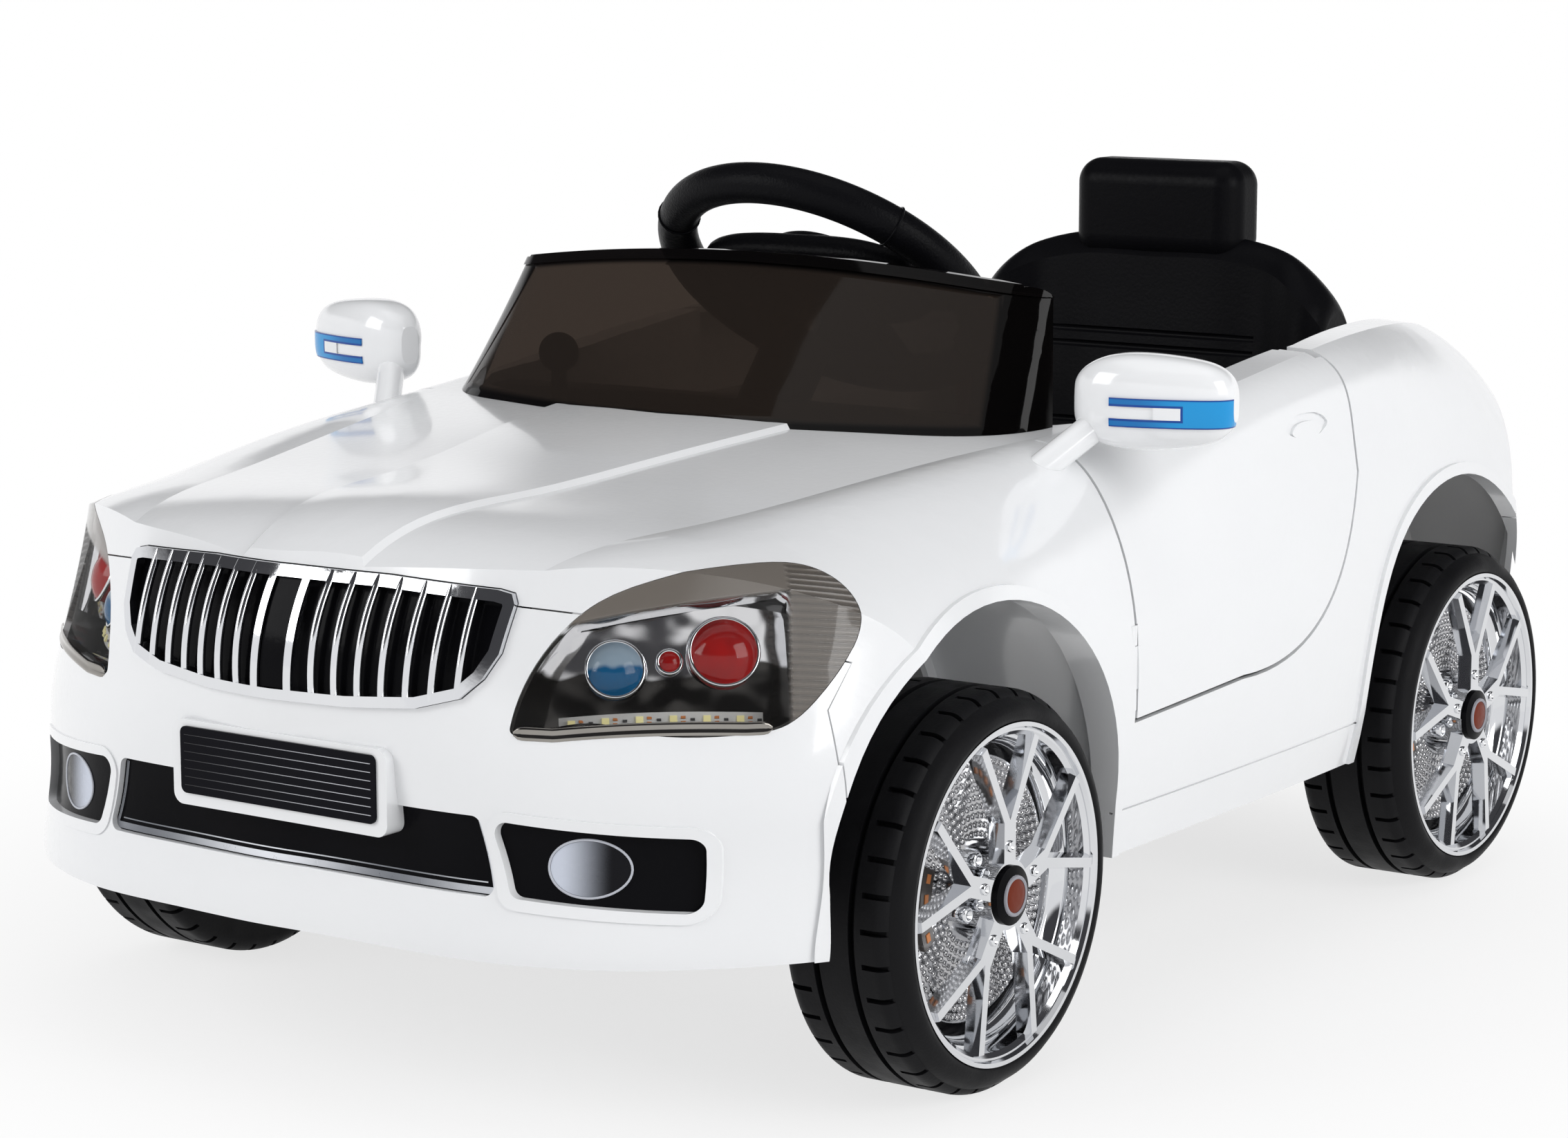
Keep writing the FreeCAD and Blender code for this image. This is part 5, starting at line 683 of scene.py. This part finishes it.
def lamp_rings(side, sign):
    """Bezel rings round the lamps."""
    out, along, rise = lamp_axes(sign)
    bowl = surface_of("headlight_reflector_" + side)
    lift_share, gap, thickness = 0.50, 0.0004, 0.0012
    rings = []
    for x_share, z_share, radius in LAMPS:
        centre = lamp_hit(bowl, sign, x_share, z_share) + out * (radius * lift_share)
        path = [centre + (along * math.cos(turn) + rise * math.sin(turn)) * (radius + gap)
                for turn in turns(40)]
        rings.append(tube_mesh(path, thickness, around=10))
    add_piece("lamp_rings_" + side, *merge(rings), CHROME, "chassis", "chrome_trim")


def window_path():
    """Top and rear edge of the clear window, as shares of the headlight."""
    start = 0.16
    corner = LAMP_WINDOW_TOP + LAMP_WINDOW_SLOPE * LAMP_WINDOW_END
    top = [(start, LAMP_WINDOW_TOP + LAMP_WINDOW_SLOPE * start), (0.76, corner - 0.012)]
    rear = [(0.785, corner - 0.045), (LAMP_WINDOW_END, corner - 0.11), (0.815, 0.10)]
    return between_points(top, steps=16) + between_points(rear, steps=10)


def lamp_wall(side, sign):
    """Chrome wall with a rounded lip round the clear window, between the bowl and the lens."""
    out = lamp_axes(sign)[0]
    lens = surface_of("headlight_lens_" + side)
    middle = lamp_point(sign, x_share=0.45, z_share=0.40, reach=0.0)
    section = ((0.0235, 0.0), (0.0115, 0.0), (0.0075, 0.0006), (0.0058, 0.0018), (0.0058, 0.0032),
               (0.0085, 0.0042))
    hits = [lamp_hit(lens, sign, *shares) for shares in window_path()]
    spots = [spot for spot in hits if spot is not None]
    points = []
    for i, spot in enumerate(spots):
        way = (spots[min(i + 1, len(spots) - 1)] - spots[max(i - 1, 0)]).normalized()
        aside = way.cross(out).normalized()
        away = spot - middle
        if aside.dot(away - out * away.dot(out)) <= 0:
            aside = -aside
        points += [spot - out * depth + aside * shift for depth, shift in section]
    faces = sheet_faces(len(spots), len(section))
    add_piece("lamp_wall_" + side, points, faces, CHROME, "chassis", "chrome_trim")


def sill_depth(trees, column, out):
    """Middle depth at which a column of lines meets the lens or the panel below it."""
    depths = []
    for place, shift, _ in column:
        for tree in trees:
            spot = drop_on(tree, place, -out)
            if spot is not None:
                depths.append((spot - place).length + shift)
    return sorted(depths)[len(depths) // 2]


def lamp_sill(side, sign):
    """Beaded bright band along the lower edge of the lens, from corner to corner."""
    out = lamp_axes(sign)[0]
    trees = [surface_of("headlight_lens_" + side), surface_of("front_bumper")]
    section = ((-0.008, 0.0001), (-0.002, 0.0008), (0.010, 0.0010), (0.020, 0.0004), (0.036, 0.0004),
               (0.046, 0.0011), (0.060, 0.0011), (0.068, 0.0002))
    middle, start, end, steps = 0.027, 0.008, 0.735, 60
    taper, end_width, slope = 0.035, 0.25, 0.020
    inner_rise, inner_end, outer_rise, outer_start = 0.035, 0.12, 0.10, 0.66
    points = []
    for i in range(steps + 1):
        u = start + (end - start) * i / steps
        near_end = min(u - start, end - u, taper) / taper
        spread = end_width + (1 - end_width) * math.sqrt(max(near_end * (2 - near_end), 0.0))
        lean = inner_rise * max(0.0, 1 - u / inner_end) + outer_rise * max(0.0, u - outer_start)
        column = []
        for v, lift in section:
            place = lamp_point(sign, u, middle + lean + (v - middle) * spread, LAMP_REACH)
            column.append((place, slope * (v - middle) * spread, lift))
        depth = sill_depth(trees, column, out)
        points += [place - out * (depth - shift - lift) for place, shift, lift in column]
    faces = sheet_faces(steps + 1, len(section))
    add_piece("lamp_sill_" + side, points, faces, SILL, "chassis", "chrome_trim")


def light_strip(side, sign):
    """Chips, pads and resistors on the strip's board."""
    out, along, rise = lamp_axes(sign)
    tree = surface_of("led_strips")
    groups, start, pitch, middle, edge = 6, 0.175, 0.096, 0.142, 0.0002
    kinds = (("led_chips_", LED, (0.0040, 0.0040, 0.0012), ((0.0, 0.0),)),
             ("led_pads_", COPPER, (0.0026, 0.0016, 0.0003), ((0.028, -0.016), (0.028, 0.012))),
             ("led_resistors_", RESISTOR, (0.0024, 0.0014, 0.0006), ((0.055, 0.0),)))
    for name, mat, sizes, shifts in kinds:
        parts = []
        for i in range(groups):
            for shift, lift in shifts:
                spot = lamp_hit(tree, sign, start + i * pitch + shift, middle + lift)
                if spot is not None:
                    parts.append(block_mesh(spot, (along, rise, out), sizes, edge))
        add_piece(name + side, *merge(parts), mat, "chassis", "led_board", smooth=False)


def lamp_details():
    """Rings, inner wall, lower band and light strip of both headlights."""
    for side, sign in SIDES:
        lamp_rings(side, sign)
        lamp_wall(side, sign)
        lamp_sill(side, sign)
        light_strip(side, sign)


# Door bays

def bay_panels():
    """Floor and low wall that close each door bay ahead of the rear wheel."""
    thick, edge = 0.0025, 0.0003
    deck, wall_top, front, rear, recess = 0.184, 0.236, 0.150, 0.2085, 0.192
    inner, step, outer = 0.203, 0.226, 0.2945
    foot = deck - thick
    for side, sign in SIDES:
        parts = []
        for low, high, start in ((step, outer, front), (inner, step, recess)):
            centre = Vector((sign * (low + high) / 2, (start + rear) / 2, foot))
            sizes = (high - low, rear - start, thick)
            parts.append(block_mesh(centre, (X_AXIS, Y_AXIS, Z_AXIS), sizes, edge))
        centre = Vector((sign * (inner + outer) / 2, rear, (foot + wall_top) / 2))
        sizes = (outer - inner, wall_top - foot, thick)
        parts.append(block_mesh(centre, (X_AXIS, Z_AXIS, -Y_AXIS), sizes, edge))
        add_piece("bay_panel_" + side, *merge(parts), TRAY, "chassis", "tray_plastic", smooth=False)


# Steering wheel

def signed_power(value, power):
    """Power of a sine or cosine that keeps its sign, to square up a round."""
    return math.copysign(abs(value) ** power, value)


def steering_pad():
    """Padded cover round the hub, below its buttons."""
    rings, around, pole = 18, 64, 0.02
    half_width, half_height, lift, middle, half_wall = 0.081, 0.041, 0.009, -0.005, 0.0125
    size_power, wall_power, outline_power = 0.42, 0.8, 0.60
    points = []
    for i in range(rings + 1):
        bow = math.pi * (i + pole) / (rings + 2 * pole)
        size = math.sin(bow) ** size_power
        height = middle + half_wall * signed_power(math.cos(bow), wall_power)
        for turn in turns(around):
            wide = signed_power(math.sin(turn), outline_power) * half_width
            tall = signed_power(math.cos(turn), outline_power) * half_height
            points.append(STEER_CENTRE + X_AXIS * (wide * size) + STEER_DOWN * (tall * size - lift)
                          + STEER_AXIS * height)
    faces = loop_faces(rings + 1, around)
    faces.append(tuple(range(around - 1, -1, -1)))
    faces.append(tuple(range(rings * around, (rings + 1) * around)))
    add_piece("steering_pad", points, faces, GRAIN, "steering", "black_grain")


def steer_point(turn, radius, height):
    """Point in the steering wheel's own plane."""
    return (STEER_CENTRE + X_AXIS * (radius * math.sin(turn)) + STEER_DOWN * (radius * math.cos(turn))
            + STEER_AXIS * height)


def grip_seams():
    """Seams round the steering wheel's grip."""
    reach, thickness = STEER_GRIP_RADIUS + 0.0003, 0.0009
    seams = []
    for turn in (math.radians(angle) for angle in (52, 128, 232, 308)):
        path = [steer_point(turn, STEER_RIM_RADIUS + reach * math.cos(roll), reach * math.sin(roll))
                for roll in turns(24)]
        seams.append(tube_mesh(path, thickness, around=8))
    add_piece("grip_seams", *merge(seams), BLACK, "steering", "black_grain")


# Wheels: each function makes a mesh for the wheel at a place

def dish_cover(place):
    """Disc that carries the studs, in front of the rim's dish."""
    edge = 0.001
    profile = [(RIM_DISH, DISH_RADIUS), (DISH_FACE - edge, DISH_RADIUS), (DISH_FACE, DISH_RADIUS - edge),
               (DISH_FACE, HUB_RADIUS)]
    return turned_mesh(profile, place, around=72)


def dish_studs(place):
    """Rounded studs in rings over the dish cover."""
    levels = ((-0.0003, 0.0023), (0.0008, 0.0019), (0.0014, 0.0009))
    around = 8
    parts = []
    rings = int((STUD_END - STUD_START) / STUD_PITCH)
    for ring in range(rings):
        radius = STUD_START + (ring + 0.5) * (STUD_END - STUD_START) / rings
        for turn in turns(int(2 * math.pi * radius / STUD_PITCH)):
            spot = Matrix.Translation((DISH_FACE, radius * math.cos(turn), radius * math.sin(turn)))
            points, faces = turned_mesh(levels, place @ spot, around)
            faces.append(tuple(range(len(points) - around, len(points))))
            parts.append((points, faces))
    return merge(parts)


def barrel_steps(place):
    """Stepped ring along the inside of the barrel."""
    low, high = DISH_FACE + 0.0010, DISH_FACE + 0.0085
    mouth, edge = BARREL_MOUTH, BARREL_EDGE
    step = (mouth + BARREL_RADIUS) / 2
    profile = [(GAP_FLOOR, mouth), (low - edge, mouth), (low, mouth + edge), (low, step),
               (high - edge, step + edge), (high, step + 2 * edge), (high, BARREL_RADIUS)]
    return turned_mesh(profile, place, around=72)


def dish_gap_shade(place):
    """Black ring at the floor of the gap between the dish and the stepped ring, put there as painted
    shade.
    """
    profile = [(GAP_FLOOR, DISH_RADIUS - BARREL_EDGE), (GAP_FLOOR, BARREL_MOUTH + BARREL_EDGE)]
    return turned_mesh(profile, place, around=72)


def tyre_lip(place):
    """Rubber bead that bulges out round the rim's edge."""
    profile = [(0.3045, 0.1110), (0.3080, 0.1098), (0.3112, 0.1076), (0.3136, 0.1046), (0.3147, 0.1014),
               (0.3143, 0.0988), (0.3130, 0.0978)]
    return turned_mesh(profile, place, around=96)


def around_hub(profile, place, x, radius, shift, around):
    """Turned profile repeated round the hub, once for each spoke, shifted by a share of the spacing."""
    parts = []
    for i in range(SPOKES):
        turn = 2 * math.pi * (i + shift) / SPOKES + math.pi / 2
        spot = Matrix.Translation((x, radius * math.cos(turn), radius * math.sin(turn)))
        parts.append(turned_mesh(profile, place @ spot, around))
    return merge(parts)


def lug_nuts(place):
    """Nuts on the dish between the spokes' stems."""
    radius, size, top, well, edge = 0.0262, 0.0050, 0.3032, 0.2995, 0.001
    profile = [(DISH_FACE, size), (top - edge, size), (top, size - edge), (top, size * 0.52),
               (well, size * 0.48), (well, 0.0001)]
    return around_hub(profile, place, x=0, radius=radius, shift=0.5, around=16)


def spoke_bolts(place):
    """Small bolts on the spokes' stems."""
    radius = 0.028
    profile = [(-0.001, 0.0034), (0.0010, 0.0034), (0.0016, 0.0028), (0.0016, 0.0018), (0.0002, 0.0016),
               (0.0002, 0.0001)]
    return around_hub(profile, place, x=RIM_FACE, radius=radius, shift=0, around=12)


def wheel_lamp(place):
    """Curved light board on the dish."""
    half_width, steps = 0.0055, 12
    faces = [(4, 5, 7, 6), (0, 4, 6, 2), (1, 3, 7, 5), (0, 1, 5, 4), (2, 6, 7, 3)]
    board = []
    for i in range(steps):
        ends = [math.pi + WHEEL_LAMP_SPREAD * (2 * (i + k) / steps - 1) for k in (0, 1)]
        points = []
        for x in (DISH_FACE, DISH_FACE + WHEEL_LAMP_RISE):
            for turn in ends:
                for radius in (WHEEL_LAMP_RADIUS - half_width, WHEEL_LAMP_RADIUS + half_width):
                    points.append(place @ Vector((x, radius * math.cos(turn), radius * math.sin(turn))))
        board.append((points, faces))
    return merge(board)


def wheel_lamp_pads(place):
    """Pads on the light board."""
    count, sizes, edge = 4, (0.0052, 0.0036, 0.0006), 0.0002
    pads = []
    for i in range(count):
        turn = math.pi + WHEEL_LAMP_SPREAD * (2 * (i + 0.5) / count - 1)
        across = Vector((0, math.cos(turn), math.sin(turn)))
        along = Vector((0, -math.sin(turn), math.cos(turn)))
        centre = X_AXIS * (DISH_FACE + WHEEL_LAMP_RISE) + across * WHEEL_LAMP_RADIUS
        points, faces = block_mesh(centre, (along, across, X_AXIS), sizes, edge)
        pads.append(([place @ p for p in points], faces))
    return merge(pads)


def cap_ring(place):
    """Grey ring on the wheel's cap."""
    face = RIM_FACE + CAP_RISE
    profile = [(face - 0.0006, 0.0118), (face + 0.0006, 0.0116), (face + 0.0009, 0.0104),
               (face + 0.0004, 0.0096)]
    return turned_mesh(profile, place, around=40)


def cap_disc(place):
    """Low dome inside the cap's ring."""
    face = RIM_FACE + CAP_RISE
    profile = [(face + 0.0002, 0.0096), (face + 0.0006, 0.0088), (face + 0.0010, 0.005),
               (face + 0.0011, 0.0001)]
    return turned_mesh(profile, place, around=40)


WHEEL_PIECES = (
    ("dish_cover", dish_cover, DISH, "chrome_trim", True),
    ("dish_studs", dish_studs, DISH, "chrome_trim", True),
    ("lug_nuts", lug_nuts, RIM, "chrome_trim", True),
    ("tyre_lip", tyre_lip, TYRE, "tyre_black", True),
    ("barrel_steps", barrel_steps, RIM, "chrome_trim", True),
    # The black gap ring stands in for the shade in the gap.
    ("dish_gap_shade", dish_gap_shade, BLACK, "black_trim", True),
    ("wheel_lamp", wheel_lamp, SMOKE, "led_board", False),
    ("wheel_lamp_pads", wheel_lamp_pads, COPPER, "led_board", False),
    ("bolts", spoke_bolts, CHROME, "chrome_trim", True),
    ("cap_ring", cap_ring, GREY_RING, "black_trim", True),
    ("cap_disc", cap_disc, ORANGE, "red_button", True),
)


def wheel_details():
    """All added pieces of the four wheels."""
    for end, y in (("front", FRONT_AXLE_Y), ("rear", REAR_AXLE_Y)):
        for side, sign in SIDES:
            wheel = "%s_%s" % (end, side)
            place = Matrix.Translation((0, y, AXLE_HEIGHT)) @ Matrix.Scale(sign, 4, X_AXIS)
            for name, make_mesh, mat, slot, smooth in WHEEL_PIECES:
                add_piece(name + "_" + wheel, *make_mesh(place), mat, wheel + "_wheel", slot, smooth)


# Stage, light and camera

def floor_material():
    """Pale floor that glows white away from the car where it is seen, and keeps a shadow near it."""
    mat, tree, shader, coords = new_material("floor_pale")
    set_inputs(shader, {"Base Color": (0.90, 0.90, 0.90, 1), "Roughness": 0.8, "Specular IOR Level": 0.1})
    near, far, near_glow = 0.30, 0.85, 0.72
    glow = tree.nodes.new("ShaderNodeEmission")
    length = tree.nodes.new("ShaderNodeVectorMath")
    length.operation = "LENGTH"
    tree.links.new(coords, length.inputs[0])
    fade = smooth_step(tree, length.outputs["Value"], near, far, near_glow)
    rays = tree.nodes.new("ShaderNodeLightPath").outputs
    seen = maths(tree, "MAXIMUM", rays["Is Camera Ray"], rays["Is Glossy Ray"])
    seen = maths(tree, "MAXIMUM", seen, rays["Is Transmission Ray"])
    mix = tree.nodes.new("ShaderNodeMixShader")
    tree.links.new(maths(tree, "MULTIPLY", fade, seen), mix.inputs["Fac"])
    tree.links.new(shader.outputs["BSDF"], mix.inputs[1])
    tree.links.new(glow.outputs["Emission"], mix.inputs[2])
    tree.links.new(mix.outputs["Shader"], tree.nodes["Material Output"].inputs["Surface"])
    return mat


def make_floor():
    """Wide flat floor under the wheels."""
    reach = 30.0
    corners = [(-reach, -reach, 0), (reach, -reach, 0), (reach, reach, 0), (-reach, reach, 0)]
    mesh = bpy.data.meshes.new("floor")
    mesh.from_pydata(corners, [], [(0, 1, 2, 3)])
    mesh.materials.append(floor_material())
    floor = bpy.data.objects.new("floor", mesh)
    bpy.context.scene.collection.objects.link(floor)


def make_world():
    """White background, with a dimmer ceiling in reflections and in the light on the car."""
    ceiling_start, ceiling_fade, ceiling_share, strength = 0.34, 0.12, 0.35, 0.67
    world = bpy.data.worlds.new("studio")
    bpy.context.scene.world = world
    world.use_nodes = True
    tree = world.node_tree
    sky = tree.nodes["Background"]
    coords = tree.nodes.new("ShaderNodeTexCoord").outputs["Generated"]
    rays = tree.nodes.new("ShaderNodeLightPath").outputs
    ceiling = above(tree, axis_value(tree, coords, Z_AXIS), ceiling_start, ceiling_fade)
    share = maths(tree, "MAXIMUM", rays["Is Glossy Ray"], ceiling_share)
    shadow = maths(tree, "MULTIPLY", ceiling, share)
    studio = tint(tree, shadow, (0.95, 0.95, 0.96), (0.06, 0.06, 0.065))
    seen = maths(tree, "MAXIMUM", rays["Is Camera Ray"], rays["Is Transmission Ray"])
    tree.links.new(cover(tree, seen, studio, (1, 1, 1)), sky.inputs["Color"])
    bright = maths(tree, "MAXIMUM", seen, rays["Is Glossy Ray"])
    tree.links.new(linear(tree, bright, 1 - strength, strength), sky.inputs["Strength"])


def make_lights():
    """Three soft square lamps: overhead, before the car's right front corner and at its left side."""
    for name, place, size, power in (TOP_LIGHT, FRONT_LIGHT, SIDE_LIGHT):
        data = bpy.data.lights.new(name, "AREA")
        data.size = size
        data.energy = power
        lamp = bpy.data.objects.new(name, data)
        lamp.rotation_euler = (LIGHT_TARGET - place).to_track_quat("-Z", "Y").to_euler()
        lamp.location = place
        bpy.context.scene.collection.objects.link(lamp)


def make_camera():
    """Camera at the photograph's viewpoint."""
    level = math.cos(CAMERA_LIFT)
    back = Vector((math.sin(CAMERA_TURN) * level, -math.cos(CAMERA_TURN) * level, math.sin(CAMERA_LIFT)))
    right = Vector((math.cos(CAMERA_TURN), math.sin(CAMERA_TURN), 0))
    place = Matrix((right, back.cross(right), back)).transposed().to_4x4()
    place.translation = CAMERA_PLACE
    data = bpy.data.cameras.new("camera")
    data.sensor_width = SENSOR_WIDTH
    data.lens = LENS_LENGTH
    camera = bpy.data.objects.new("camera", data)
    camera.matrix_world = place
    bpy.context.scene.collection.objects.link(camera)
    bpy.context.scene.camera = camera


bpy.context.scene.view_settings.view_transform = "Standard"
make_camera()
make_world()
make_lights()
make_floor()
dress_nodes()
fog_lamps()
intake_border()
plate_lines()
lamp_details()
bay_panels()
steering_pad()
grip_seams()
wheel_details()
